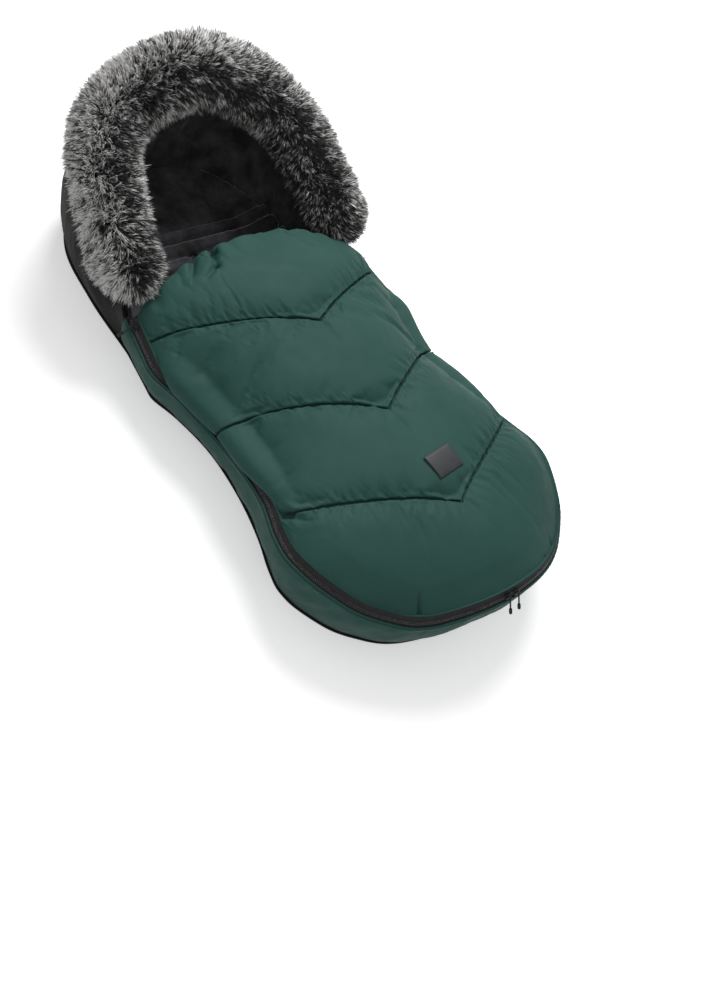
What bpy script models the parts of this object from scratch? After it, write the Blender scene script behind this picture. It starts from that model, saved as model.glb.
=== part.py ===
"""Baby bunting bag: a quilted footmuff with a zipped apron and a fur-trimmed hood, lying on its back.

Frame: X across, +Y towards the head, +Z up, origin on the floor under the middle. Metres.
Across is a share from -1 to 1, from the zip on the left to the zip on the right.
"""
import bisect
import math

import bmesh
import bpy
from mathutils import Matrix, Vector

# Whole bag
LENGTH = 0.88
HALF_WIDTH = 0.23
APRON_HEIGHT = 0.15
GAP = 0.0003
SOFT_GAP = 0.0005
FOLD_GAP = 0.0012
CUT_OVERRUN = 0.01

# Zip line, from the middle of the foot to its top end. Shares are of HALF_WIDTH, LENGTH and APRON_HEIGHT.
FOOT_INSET = 0.0202
FOOT_ZIP_HEIGHT = 0.115
FOOT_ARC_RADIUS = 0.27
FOOT_ARC_REACH = math.radians(25)
FOOT_ARC_STEPS = 5
FOOT_ARC_TILT = math.radians(40)
ZIP_SLOPE = math.radians(50)
SLOPE_BLEND = 0.06
ZIP_SIDE_SHARES = (
    (0.604, -0.4415, 0.630),
    (0.730, -0.4160, 0.625),
    (0.843, -0.3860, 0.630),
    (0.925, -0.3500, 0.645),
    (0.991, -0.3045, 0.650),
    (1.000, -0.2727, 0.630),
    (0.974, -0.2420, 0.610),
    (0.900, -0.1860, 0.600),
    (0.842, -0.1136, 0.520),
    (0.830, -0.0340, 0.450),
    (0.872, 0.0260, 0.465),
)
STRAIGHT_START_SHARE = (0.935, 0.085, 0.493)
STRAIGHT_END_SHARE = (0.885, 0.170, 0.550)
STRAIGHT_STEPS = 4
ZIP_STATIONS = 64
STATION_CLEAR_SHARE = 0.25
CURVE_STEPS = 12
TANGENT_SHARE = 0.002
SIDE_STEPS = 400

# Zip tapes, teeth and stops
APRON_TAPE = 0.010
BASE_TAPE = 0.007
TAPE_UNDER = 0.0006
TAPE_OVER = 0.0002
TEETH_REACH = 0.0023
TEETH_RISE = 0.0012
TEETH_GAP = 0.0006
STOP_LENGTH = 0.004
STOP_RISE = 0.002

# Apron: seams point to the foot, and each has a tip on the middle line and an end at the zip
SEAM_SHARES = (
    (0.0220, 0.117, 0.90),
    (-0.1550, -0.053, 0.85),
    (-0.3330, -0.220, 0.85),
)
HEM_TIP_SHARE = 0.207
HEM_END_SHARE = 0.157
HEM_BOW_SHARE = 2.2
ARCH_POWER_SHARE = 2.2
ARCH_ROUND_SHARE = 0.85
RIDGE_HEIGHT = 0.147
HEM_DROP = 0.012
NUDGE_SHARE = 0.01
SEAM_SQUARE = 0.03
SEAM_THICKNESS = 0.005
EDGE_OVER = 0.0032
EDGE_UNDER = 0.0020
BAFFLE_RISE = 0.009
BAFFLE_DEPTH = 0.011
BAFFLE_ROUND_SHARE = 0.55
BAFFLE_FADE_SHARE = 0.5
CROWN_REACH = 0.10
LINING_THICKNESS = 0.0035
ACROSS_STEPS = 18
SEAM_ROWS = 6
FOOT_ROWS = 7
FOOT_SIDE = 0.02

# Hem
HEM_RADIUS = 0.005
HEM_BORE = 0.0022
ELASTIC_RADIUS = 0.0016
HEM_SIDES = 6

# Patch
PATCH_WIDTH = 0.050
PATCH_LENGTH = 0.034
PATCH_THICKNESS = 0.0014
PATCH_X = 0.014
PATCH_Y_SHARE = -0.265
PATCH_TURN = math.radians(7)
PATCH_STEPS = 3

# Back
PANEL_THICKNESS = 0.003
PADDING_THICKNESS = 0.016
BACK_LINING_THICKNESS = 0.006
PANEL_MARGIN = 0.002
LAYER_CLEAR = 0.002
OUTLINE_STEP = 2
SLOT_WIDTH = 0.016
SLOT_BINDING = 0.002
BINDING_RISE = 0.0012
SHOULDER_SLOT_LENGTH = 0.12
SHOULDER_SLOT_Y_SHARE = 0.222
CROTCH_SLOT_LENGTH = 0.06
CROTCH_SLOT_Y_SHARE = -0.08
SLOT_END_STEPS = 6
CHANNEL_Y_SHARES = (0.262, 0.290, 0.318)
CHANNEL_WIDTH = 0.010
CHANNEL_DEPTH = 0.004

# Gusset
FLARE = 0.025
WALL_THICKNESS = 0.008
WALL_TOP = 0.0015
WALL_BULGE = 0.006
WALL_ROWS = 3
WALL_TAPER_START_SHARE = 0.6
LEFT_PANEL_END_SHARE = 0.33
RIGHT_PANEL_START_SHARE = 0.67

# Hood. Shares are of HALF_WIDTH, LENGTH and HOOD_HEIGHT.
HOOD_HEIGHT = 0.223
NECK_GAP = 0.0015
HEAD_SIDE_SHARES = ((0.765, 0.280), (0.690, 0.385), (0.480, 0.455), (0.220, 0.478), (0.0, 0.482))
RIM_SIDE_SHARES = (
    (0.830, 0.227, 0.400),
    (0.795, 0.295, 0.528),
    (0.757, 0.352, 0.640),
    (0.695, 0.400, 0.720),
    (0.580, 0.440, 0.800),
    (0.385, 0.464, 0.895),
    (0.175, 0.472, 0.970),
    (0.0, 0.473, 1.0),
)
HOOD_THICKNESS = 0.008
HOOD_LINING_THICKNESS = 0.005
HOOD_BULGE = 0.020
NECK_SPAN_SHARE = 0.125
HOOD_AXIS_Y_SHARE = 0.174
HOOD_AXIS_Z_SHARE = 0.354
HOOD_STATIONS = 24
HOOD_ROWS = 5

# Fur trim
FUR_HALF_WIDTH = 0.047
FUR_HALF_DEPTH = 0.030
FUR_SIDE_TILT = math.radians(33)
FUR_TOP_TILT = math.radians(49)
FUR_START = 0.030
FUR_ROUND = 0.045
FUR_RINGS = 26
FUR_CROWD_SHARE = 0.2
FUR_TIP_SHARE = 0.004
FUR_SIDES = 12

# Sliders and pulls
SLIDER_LENGTH = 0.011
SLIDER_HALF_WIDTH = 0.0043
SLIDER_PLATE = 0.0015
SLIDER_FIN = 0.0002
SLIDER_CLEAR = 0.0004
FOOT_SLIDER_SPACING = 0.0165
TOP_SLIDER_Y_SHARE = 0.150
BAIL_THICKNESS = 0.0012
BAIL_SPAN = 0.0082
BAIL_RISE = 0.0034
PULL_LENGTH = 0.024
PULL_WIDTH = 0.0050
PULL_THICKNESS = 0.0012
PULL_EYE = 0.0026
PULL_END_STEPS = 6

# Materials: colour, roughness, metallic
NYLON_GREEN = (0.030, 0.092, 0.075)
PLUSH_BLACK = (0.012, 0.012, 0.013)
FUR_GREY = (0.060, 0.058, 0.056)
CLOTH_BLACK = (0.015, 0.015, 0.016)
METAL_BLACK = (0.020, 0.020, 0.022)
RUBBER_GREY = (0.035, 0.036, 0.040)
CLOTH_ROUGHNESS = 0.9
NYLON_ROUGHNESS = 0.45
METAL_ROUGHNESS = 0.4
SHARP_ANGLE = math.radians(40)

FLAP_PIECES = (
    "apron_middle_baffle",
    "apron_top_baffle",
    "apron_upper_lining",
    "apron_hem",
    "hem_elastic",
    "zip_half_apron_left",
    "zip_half_apron_right",
)

UP = Vector((0, 0, 1))
FOOT_ZIP = Vector((0, FOOT_INSET - LENGTH / 2, FOOT_ZIP_HEIGHT))
FOOT_ARC_INWARD = Vector((0, math.cos(FOOT_ARC_TILT), -math.sin(FOOT_ARC_TILT)))
FOOT_ARC_AXIS = Vector((0, math.sin(FOOT_ARC_TILT), math.cos(FOOT_ARC_TILT)))
FOOT_ARC_CENTRE = FOOT_ZIP + FOOT_ARC_INWARD * FOOT_ARC_RADIUS
PANEL_TOP = PANEL_THICKNESS + GAP
LINING_BASE = PANEL_TOP + PADDING_THICKNESS + GAP
LINING_TOP = LINING_BASE + BACK_LINING_THICKNESS
FOLD_HEIGHT = RIDGE_HEIGHT + BAFFLE_RISE + FOLD_GAP


def clear_scene():
    """Empty the scene, so that only the bag is in it."""
    for thing in list(bpy.data.objects):
        bpy.data.objects.remove(thing, do_unlink=True)


def ease(share):
    """Smooth step from 0 to 1."""
    share = min(max(share, 0), 1)
    return share * share * (3 - 2 * share)


def material(name, colour, roughness, metallic=0.0):
    """One Principled material for one piece."""
    made = bpy.data.materials.new(name)
    made.use_nodes = True
    shader = made.node_tree.nodes["Principled BSDF"]
    shader.inputs["Base Color"].default_value = (*colour, 1)
    shader.inputs["Roughness"].default_value = roughness
    shader.inputs["Metallic"].default_value = metallic
    made.diffuse_color = (*colour, 1)
    return made


def add_piece(name, mesh, colour, roughness=CLOTH_ROUGHNESS, metallic=0.0):
    """Put a mesh into the scene as a named piece with its own material."""
    piece = bpy.data.objects.new(name, mesh)
    bpy.context.scene.collection.objects.link(piece)
    mesh.materials.clear()
    mesh.materials.append(material(name, colour, roughness, metallic))
    mesh.shade_smooth()
    mesh.set_sharp_from_angle(angle=SHARP_ANGLE)
    return piece


def add_axis(name, place):
    """Empty on the axis of a joint, to carry the pieces that turn about it."""
    axis = bpy.data.objects.new(name, None)
    axis.location = place
    bpy.context.scene.collection.objects.link(axis)
    bpy.context.view_layer.update()
    return axis


def hang(piece, carrier):
    """Let a piece ride on another object and stay where it is."""
    piece.parent = carrier
    piece.matrix_parent_inverse = carrier.matrix_world.inverted()


def finish_mesh(name, work):
    """Turn a bmesh into a mesh whose faces point out."""
    bmesh.ops.recalc_face_normals(work, faces=work.faces)
    mesh = bpy.data.meshes.new(name)
    work.to_mesh(mesh)
    work.free()
    return mesh


def slab_mesh(name, top, bottom):
    """Closed body between two grids of the same rows and columns."""
    work = bmesh.new()
    over = [[work.verts.new(point) for point in row] for row in top]
    under = [[work.verts.new(point) for point in row] for row in bottom]
    rows = len(over)
    columns = len(over[0])
    for row in range(rows - 1):
        for column in range(columns - 1):
            for side in (over, under):
                corners = (side[row][column], side[row][column + 1])
                corners += (side[row + 1][column + 1], side[row + 1][column])
                work.faces.new(corners)
    border = [(0, column) for column in range(columns)]
    border += [(row, columns - 1) for row in range(1, rows)]
    border += [(rows - 1, column) for column in range(columns - 2, -1, -1)]
    border += [(row, 0) for row in range(rows - 2, 0, -1)]
    for first, second in zip(border, border[1:] + border[:1]):
        corners = (over[first[0]][first[1]], over[second[0]][second[1]])
        corners += (under[second[0]][second[1]], under[first[0]][first[1]])
        work.faces.new(corners)
    return finish_mesh(name, work)


def sweep_mesh(name, rings, closed_ends=True):
    """Closed body through rings of points that each run once round."""
    work = bmesh.new()
    loops = [[work.verts.new(point) for point in ring] for ring in rings]
    for first, second in zip(loops, loops[1:]):
        for index in range(len(first)):
            after = (index + 1) % len(first)
            work.faces.new((first[index], first[after], second[after], second[index]))
    if closed_ends:
        work.faces.new(loops[0])
        work.faces.new(loops[-1])
    else:
        for index in range(len(loops[0])):
            after = (index + 1) % len(loops[0])
            ends = (loops[-1][index], loops[-1][after], loops[0][after], loops[0][index])
            work.faces.new(ends)
    return finish_mesh(name, work)


def smooth(points):
    """Close points on a curve through the given ones, with no overshoot where their spacing is uneven."""
    gaps = [(second - first).length for first, second in zip(points, points[1:])]
    slopes = [(second - first) / gap for first, second, gap in zip(points, points[1:], gaps)]
    tangents = [slopes[0]]
    for index in range(1, len(slopes)):
        before = gaps[index - 1]
        after = gaps[index]
        mixed = slopes[index - 1] * after + slopes[index] * before
        tangents.append(mixed / (before + after))
    tangents.append(slopes[-1])
    close = [points[0]]
    for index, gap in enumerate(gaps):
        for step in range(1, CURVE_STEPS + 1):
            t = step / CURVE_STEPS
            point = points[index] * (2 * t ** 3 - 3 * t ** 2 + 1)
            point = point + tangents[index] * gap * (t ** 3 - 2 * t ** 2 + t)
            point = point + points[index + 1] * (3 * t ** 2 - 2 * t ** 3)
            point = point + tangents[index + 1] * gap * (t ** 3 - t ** 2)
            close.append(point)
    return close


class Path:
    """A smooth curve that is read by its share of length, from 0 to 1."""

    def __init__(self, points):
        self.close = smooth(points)
        self.lengths = [0.0]
        for first, second in zip(self.close, self.close[1:]):
            self.lengths.append(self.lengths[-1] + (second - first).length)
        self.length = self.lengths[-1]

    def at(self, share):
        goal = min(max(share, 0), 1) * self.length
        high = bisect.bisect_left(self.lengths, goal, 1, len(self.lengths) - 1)
        start = self.lengths[high - 1]
        part = (goal - start) / (self.lengths[high] - start)
        return self.close[high - 1].lerp(self.close[high], part)

    def tangent(self, share):
        return (self.at(share + TANGENT_SHARE) - self.at(share - TANGENT_SHARE)).normalized()


def mirrored(half):
    """Whole line from a half that starts on the middle line."""
    left = [Vector((-point.x, point.y, point.z)) for point in reversed(half[1:])]
    return left + half


def closed_over(half):
    """Whole line from a right half that ends on the middle line."""
    return half + [Vector((-point.x, point.y, point.z)) for point in reversed(half[:-1])]


def sized(shares, height):
    """Real place of a point given in shares of the half width, the length and a height."""
    return Vector((shares[0] * HALF_WIDTH, shares[1] * LENGTH, shares[2] * height))


def foot_arc_point(angle):
    """Point of the zip where it rounds the foot, at an angle from its middle."""
    side = Vector((1, 0, 0)) * math.sin(angle)
    return FOOT_ARC_CENTRE + (side - FOOT_ARC_INWARD * math.cos(angle)) * FOOT_ARC_RADIUS


def zip_line():
    """The line where the teeth meet, from the top left end round the foot to the top right end."""
    half = [foot_arc_point(FOOT_ARC_REACH * step / FOOT_ARC_STEPS) for step in range(FOOT_ARC_STEPS + 1)]
    half += [sized(shares, APRON_HEIGHT) for shares in ZIP_SIDE_SHARES]
    start = sized(STRAIGHT_START_SHARE, APRON_HEIGHT)
    end = sized(STRAIGHT_END_SHARE, APRON_HEIGHT)
    half += [start.lerp(end, step / STRAIGHT_STEPS) for step in range(STRAIGHT_STEPS + 1)]
    return Path(mirrored(half))


ZIP = zip_line()


def zip_frame(share):
    """Point, direction, way out across the tape and way off the tape, at a share of the zip."""
    point = ZIP.at(share)
    along = ZIP.tangent(share)
    level = along.cross(UP).normalized()
    out = level * math.cos(ZIP_SLOPE) - UP * math.sin(ZIP_SLOPE)
    arc_end = math.sin(FOOT_ARC_REACH) * FOOT_ARC_RADIUS
    out = (-FOOT_ARC_AXIS).lerp(out, ease((abs(point.x) - arc_end) / SLOPE_BLEND))
    out = (out - along * out.dot(along)).normalized()
    return point, along, out, out.cross(along)


def off_zip(share, out, off=0.0):
    """Point beside the zip: out across the tape and off it."""
    point, _, across, away = zip_frame(share)
    return point + across * out + away * off


def side_table(out):
    """Shares of the zip and their points beside it, from the middle of the foot up the right side."""
    shares = [0.5 + step / SIDE_STEPS / 2 for step in range(SIDE_STEPS + 1)]
    return shares, [off_zip(share, out) for share in shares]


def table_place(table, y):
    """Share and point of a side table at a y."""
    shares, points = table
    high = bisect.bisect_left(points, y, 1, len(points) - 1, key=lambda point: point.y)
    part = (y - points[high - 1].y) / (points[high].y - points[high - 1].y)
    share = shares[high - 1] + (shares[high] - shares[high - 1]) * part
    return share, points[high - 1].lerp(points[high], part)


ZIP_SIDE = side_table(0)
EDGE_SIDE = side_table(-APRON_TAPE - SOFT_GAP)


def zip_share(y):
    """Share of the zip, on its right side, at a y."""
    return table_place(ZIP_SIDE, y)[0]


def zip_shares(first, last):
    """Even stations of the zip between two shares, with both ends."""
    stations = [index / ZIP_STATIONS for index in range(ZIP_STATIONS + 1)]
    margin = STATION_CLEAR_SHARE / ZIP_STATIONS
    inner = [share for share in stations if first + margin < share < last - margin]
    return [first] + inner + [last]


def seam_y(tip, end, bow):
    """Function that gives a seam's y at a place across."""
    return lambda across: (tip + (end - tip) * abs(across) ** bow) * LENGTH


SEAM_LINES = [seam_y(*shares) for shares in SEAM_SHARES]
HEM_LINE = seam_y(HEM_TIP_SHARE, HEM_END_SHARE, HEM_BOW_SHARE)


def apron_edge(y):
    """Where the apron meets its zip tape, on the right side at a y."""
    return table_place(EDGE_SIDE, y)[1]


def ridge(y):
    """Height of the quilted seams on the middle line."""
    top = (SEAM_SHARES[0][0] + HEM_TIP_SHARE) / 2 * LENGTH
    end = HEM_TIP_SHARE * LENGTH
    return RIDGE_HEIGHT - HEM_DROP * ease((y - top) / (end - top))


def arch_point(across, y):
    """Point of the apron's stitched surface, without the swell of its baffles."""
    edge = apron_edge(y)
    rise = (1 - abs(across) ** ARCH_POWER_SHARE) ** ARCH_ROUND_SHARE
    return Vector((across * edge.x, y, edge.z + (ridge(y) - edge.z) * rise))


def arch_normal(across, y):
    """Upward normal of the stitched surface, square to the bag's length."""
    left = arch_point(max(across - NUDGE_SHARE, -1), y)
    right = arch_point(min(across + NUDGE_SHARE, 1), y)
    return Vector((left.z - right.z, 0, right.x - left.x)).normalized()


def shifted(line, distance):
    """The same seam, moved along the bag."""
    return lambda across: line(across) + distance


def baffle_grid(low, high, rows):
    """Rows of stitched-surface points between two seams, each with its swell from 0 to 1."""
    grid = []
    for row in range(rows + 1):
        part = row / rows
        line = []
        for column in range(ACROSS_STEPS + 1):
            across = -1 + 2 * column / ACROSS_STEPS
            y = low(across) + (high(across) - low(across)) * part
            swell = math.sin(math.pi * part) ** BAFFLE_ROUND_SHARE if 0 < row < rows else 0
            line.append((arch_point(across, y), swell * ease((1 - abs(across)) / BAFFLE_FADE_SHARE)))
        grid.append(line)
    return grid


def foot_grid(high, rows):
    """Rows of points from the zip round the foot up to a seam, each with its swell."""
    last = table_place(EDGE_SIDE, high(1) - FOOT_SIDE)[0]
    grid = []
    for row in range(rows + 1):
        part = row / rows
        rise = math.sin(math.pi * part / 2) ** ARCH_ROUND_SHARE
        line = []
        for column in range(ACROSS_STEPS + 1):
            across = -1 + 2 * column / ACROSS_STEPS
            edge = off_zip(0.5 + (last - 0.5) * across, -APRON_TAPE - SOFT_GAP)
            seam = arch_point(across, high(across))
            point = edge.lerp(seam, part)
            point.z = edge.z + (seam.z - edge.z) * rise
            reach = min((seam - edge).length / CROWN_REACH, 1)
            swell = math.sin(math.pi * part) ** BAFFLE_ROUND_SHARE if 0 < row < rows else 0
            line.append((point, swell * reach))
        grid.append(line)
    return grid


def grid_normals(points):
    """Upward normals of a grid."""
    rows = len(points)
    columns = len(points[0])
    normals = []
    for row in range(rows):
        line = []
        for column in range(columns):
            low = points[max(row - 1, 0)][column]
            high = points[min(row + 1, rows - 1)][column]
            left = points[row][max(column - 1, 0)]
            right = points[row][min(column + 1, columns - 1)]
            line.append((right - left).cross(high - low).normalized())
        normals.append(line)
    return normals


def apron_normals(points, from_foot):
    """Upward normals of an apron grid, which lose their lean along the bag near its seams: its last row
    and, if that isn't the zip round the foot, its first."""
    normals = grid_normals(points)
    columns = len(points[0])
    for row, line in enumerate(points):
        for column, point in enumerate(line):
            distance = (points[-1][column] - point).length
            if not from_foot:
                distance = min(distance, (points[0][column] - point).length)
            square = arch_normal(-1 + 2 * column / (columns - 1), point.y)
            near = max(1 - distance / SEAM_SQUARE, 0)
            normals[row][column] = normals[row][column].lerp(square, near).normalized()
    return normals


def offset_grid(points, depths, normals):
    """Grid moved along normals by a depth at each point."""
    moved = []
    for row, line in enumerate(points):
        moved.append([])
        for column, point in enumerate(line):
            moved[-1].append(point + normals[row][column] * depths[row][column])
    return moved


def even(points, depth):
    """The same depth for each point of a grid."""
    return [[depth for _ in line] for line in points]


def edge_share(across, y, last=None):
    """Share of the zip beside a point on the edge of a grid."""
    if last:
        return 0.5 + (last - 0.5) * across
    share = table_place(EDGE_SIDE, y)[0]
    return share if across > 0 else 1 - share


def pin_edges(outer, inner, foot_last=None):
    """Set the edges beside the zip square to its tape."""
    rows = len(outer)
    columns = len(outer[0])
    places = [(row, column) for row in range(rows) for column in (0, columns - 1)]
    if foot_last:
        places += [(0, column) for column in range(1, columns - 1)]
    for row, column in places:
        across = -1 + 2 * column / (columns - 1)
        y = outer[row][column].y
        share = edge_share(across, y, foot_last if row == 0 else None)
        outer[row][column] = off_zip(share, -APRON_TAPE - SOFT_GAP, EDGE_OVER)
        inner[row][column] = off_zip(share, -APRON_TAPE - SOFT_GAP, -EDGE_UNDER)


def baffle_surfaces(grid, foot_last=None):
    """Outer and inner surface of a filled baffle."""
    middle = [[point for point, _ in line] for line in grid]
    rise = [[swell * BAFFLE_RISE for _, swell in line] for line in grid]
    sink = [[-SEAM_THICKNESS - swell * BAFFLE_DEPTH for _, swell in line] for line in grid]
    normals = apron_normals(middle, foot_last is not None)
    outer = offset_grid(middle, rise, normals)
    inner = offset_grid(middle, sink, normals)
    pin_edges(outer, inner, foot_last)
    return outer, inner


def lining_surfaces(inner, from_foot):
    """Two faces of the plush that lies under a baffle's inner surface."""
    normals = apron_normals(inner, from_foot)
    top = offset_grid(inner, even(inner, -SOFT_GAP), normals)
    bottom = offset_grid(inner, even(inner, -SOFT_GAP - LINING_THICKNESS), normals)
    return top, bottom


def build_apron():
    """Four baffles between the seams, and the two linings under them."""
    half = FOLD_GAP / 2
    sewn = SOFT_GAP / 2
    foot = foot_grid(shifted(SEAM_LINES[2], -sewn), FOOT_ROWS)
    lower = baffle_grid(shifted(SEAM_LINES[2], sewn), shifted(SEAM_LINES[1], -half), SEAM_ROWS)
    middle = baffle_grid(shifted(SEAM_LINES[1], half), shifted(SEAM_LINES[0], -sewn), SEAM_ROWS)
    top = baffle_grid(shifted(SEAM_LINES[0], sewn), HEM_LINE, SEAM_ROWS)
    foot_last = table_place(EDGE_SIDE, SEAM_LINES[2](1) - sewn - FOOT_SIDE)[0]
    made = {}
    for name, grid, last in (
        ("apron_foot_baffle", foot, foot_last),
        ("apron_lower_baffle", lower, None),
        ("apron_middle_baffle", middle, None),
        ("apron_top_baffle", top, None),
    ):
        made[name] = baffle_surfaces(grid, last)
        outer, inner = made[name]
        add_piece(name, slab_mesh(name, outer, inner), NYLON_GREEN, NYLON_ROUGHNESS)
    for name, first, second in (
        ("apron_lower_lining", "apron_foot_baffle", "apron_lower_baffle"),
        ("apron_upper_lining", "apron_middle_baffle", "apron_top_baffle"),
    ):
        inner = made[first][1] + made[second][1][1:]
        top_face, bottom_face = lining_surfaces(inner, first == "apron_foot_baffle")
        add_piece(name, slab_mesh(name, top_face, bottom_face), PLUSH_BLACK)
    outer, inner = made["apron_top_baffle"]
    build_hem(outer[-1], inner[-1])


def round_ring(centre, first, second, radius, sides):
    """Ring of points round a centre."""
    ring = []
    for side in range(sides):
        angle = 2 * math.pi * side / sides
        ring.append(centre + (first * math.cos(angle) + second * math.sin(angle)) * radius)
    return ring


def build_hem(over, under):
    """Hem tube along the apron's upper edge, open at its ends, and the elastic in it."""
    last = len(over) - 1
    outer = []
    inner = []
    elastic = []
    for index in range(last + 1):
        along = (over[min(index + 1, last)] - over[max(index - 1, 0)]).normalized()
        ahead = (over[index] - under[index]).cross(along).normalized()
        centre = (over[index] + under[index]) / 2 + ahead * (HEM_RADIUS + SOFT_GAP)
        second = along.cross(ahead)
        outer.append(round_ring(centre, ahead, second, HEM_RADIUS, HEM_SIDES))
        inner.append(round_ring(centre, ahead, second, HEM_BORE, HEM_SIDES))
        elastic.append(round_ring(centre, ahead, second, ELASTIC_RADIUS, HEM_SIDES))
    tube = sweep_mesh("apron_hem", outer + inner[::-1], closed_ends=False)
    add_piece("apron_hem", tube, NYLON_GREEN, NYLON_ROUGHNESS)
    add_piece("hem_elastic", sweep_mesh("hem_elastic", elastic), CLOTH_BLACK)


def stringer(name, first, last, side):
    """Tape with its row of teeth on one side of the zip: 1 is the base's side and -1 the apron's."""
    tape = BASE_TAPE if side > 0 else APRON_TAPE
    profile = (
        (TEETH_GAP, -TAPE_UNDER),
        (tape, -TAPE_UNDER),
        (tape, TAPE_OVER),
        (TEETH_REACH, TAPE_OVER),
        (TEETH_REACH, TEETH_RISE),
        (TEETH_GAP, TEETH_RISE),
    )
    rings = []
    for share in zip_shares(first, last):
        rings.append([off_zip(share, side * out, off) for out, off in profile])
    add_piece(name, sweep_mesh(name, rings), CLOTH_BLACK)


def build_zip():
    """Both halves of the zip, parted where the apron folds, and the two top stops."""
    fold = zip_share(SEAM_LINES[1](1))
    fold_half = FOLD_GAP / 2 / ZIP.length
    stop = (STOP_LENGTH + GAP) / ZIP.length
    slider = zip_share(TOP_SLIDER_Y_SHARE * LENGTH)
    open_from = slider - (SLIDER_LENGTH / 2 + FOLD_GAP) / ZIP.length
    stringer("zip_half_base", stop, 1 - stop, 1)
    stringer("zip_half_apron_lower", 1 - fold + fold_half, fold - fold_half, -1)
    stringer("zip_half_apron_left", 1 - open_from, 1 - fold - fold_half, -1)
    stringer("zip_half_apron_right", fold + fold_half, open_from, -1)
    stop_end = STOP_LENGTH / ZIP.length
    for name, first, last in (("left", 0, stop_end), ("right", 1 - stop_end, 1)):
        rings = []
        for share in (first, last):
            corners = ((TEETH_GAP, -TAPE_UNDER), (BASE_TAPE / 2, -TAPE_UNDER))
            corners += ((BASE_TAPE / 2, STOP_RISE), (TEETH_GAP, STOP_RISE))
            rings.append([off_zip(share, out, off) for out, off in corners])
        mesh = sweep_mesh("zip_top_stop_" + name, rings)
        add_piece("zip_top_stop_" + name, mesh, METAL_BLACK, METAL_ROUGHNESS, 1.0)


def build_patch():
    """Bare patch that follows the crown of the lower baffle."""
    low = shifted(SEAM_LINES[2], SOFT_GAP / 2)
    high = shifted(SEAM_LINES[1], -FOLD_GAP / 2)
    points = []
    swells = []
    for row in range(PATCH_STEPS + 1):
        line = []
        swell_line = []
        for column in range(PATCH_STEPS + 1):
            flat = Vector((column / PATCH_STEPS - 0.5, row / PATCH_STEPS - 0.5, 0))
            flat = Vector((flat.x * PATCH_WIDTH, flat.y * PATCH_LENGTH, 0))
            flat = Matrix.Rotation(PATCH_TURN, 3, "Z") @ flat
            y = PATCH_Y_SHARE * LENGTH + flat.y
            across = (PATCH_X + flat.x) / apron_edge(y).x
            part = (y - low(across)) / (high(across) - low(across))
            swell_line.append(math.sin(math.pi * part) ** BAFFLE_ROUND_SHARE * BAFFLE_RISE)
            line.append(arch_point(across, y))
        points.append(line)
        swells.append(swell_line)
    seat = offset_grid(points, swells, grid_normals(points))
    normals = grid_normals(seat)
    bottom = offset_grid(seat, even(seat, SOFT_GAP), normals)
    top = offset_grid(seat, even(seat, SOFT_GAP + PATCH_THICKNESS), normals)
    add_piece("label_patch", slab_mesh("label_patch", top, bottom), RUBBER_GREY)


def level_out(share):
    """Level way out of the bag beside the zip."""
    along = ZIP.tangent(share)
    return along.cross(UP).normalized()


def gusset_foot(share, inset=0.0):
    """Outer foot of the gusset under a station of the zip, on a level of its own."""
    point = ZIP.at(share) - level_out(share) * (FLARE + inset)
    return Vector((point.x, point.y, PANEL_TOP))


def wall_heights(low, top, rows):
    """Heights up a wall: its foot, where that is under the back's plush, and even rows above the plush."""
    plush = LINING_TOP + GAP
    heights = [plush + (top - plush) * row / rows for row in range(rows + 1)]
    return heights if low >= plush else [low] + heights


def gusset_rows(share, depth, low):
    """Points up the gusset at a depth inside its outer face, from a height up to the tape."""
    foot = gusset_foot(share)
    top = off_zip(share, BASE_TAPE + SOFT_GAP, WALL_TOP)
    inner_top = off_zip(share, BASE_TAPE + SOFT_GAP, -WALL_TOP)
    level = level_out(share)
    heights = wall_heights(low, top.z, WALL_ROWS)
    column = []
    for z in heights:
        part = (z - PANEL_TOP) / (top.z - PANEL_TOP)
        place = foot.lerp(top, part)
        taper = 1 - ease((part - WALL_TAPER_START_SHARE) / (1 - WALL_TAPER_START_SHARE))
        inward = depth * (1 if depth <= 0 else taper)
        place = place + level * (WALL_BULGE * 4 * part * (1 - part) - inward)
        column.append(Vector((place.x, place.y, z)))
    if depth > 0:
        drop = depth - WALL_THICKNESS
        column[-1] = inner_top - level * max(drop, 0)
    return column


def build_gusset():
    """Padded side wall in three panels from the back panel up to the zip, and its plush lining."""
    sewn = SOFT_GAP / 2 / ZIP.length
    for name, first, last in (
        ("gusset_left", 0, LEFT_PANEL_END_SHARE - sewn),
        ("gusset_foot", LEFT_PANEL_END_SHARE + sewn, RIGHT_PANEL_START_SHARE - sewn),
        ("gusset_right", RIGHT_PANEL_START_SHARE + sewn, 1),
    ):
        shares = zip_shares(first, last)
        outer = [gusset_rows(share, 0.0, PANEL_TOP) for share in shares]
        inner = [gusset_rows(share, WALL_THICKNESS, PANEL_TOP) for share in shares]
        add_piece(name, slab_mesh(name, outer, inner), NYLON_GREEN, NYLON_ROUGHNESS)
    shares = [index / ZIP_STATIONS for index in range(ZIP_STATIONS + 1)]
    high = LINING_TOP + GAP
    near = [gusset_rows(share, WALL_THICKNESS + SOFT_GAP, high) for share in shares]
    far = [gusset_rows(share, WALL_THICKNESS + SOFT_GAP + LINING_THICKNESS, high) for share in shares]
    add_piece("gusset_lining", slab_mesh("gusset_lining", near, far), PLUSH_BLACK)


def head_line():
    """Outer foot of the hood, from the right of the neck round the head end to the left."""
    neck = gusset_foot(1.0)
    half = [Vector((neck.x, neck.y + NECK_GAP, PANEL_TOP))]
    half += [Vector((x * HALF_WIDTH, y * LENGTH, PANEL_TOP)) for x, y in HEAD_SIDE_SHARES]
    return Path(closed_over(half))


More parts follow.
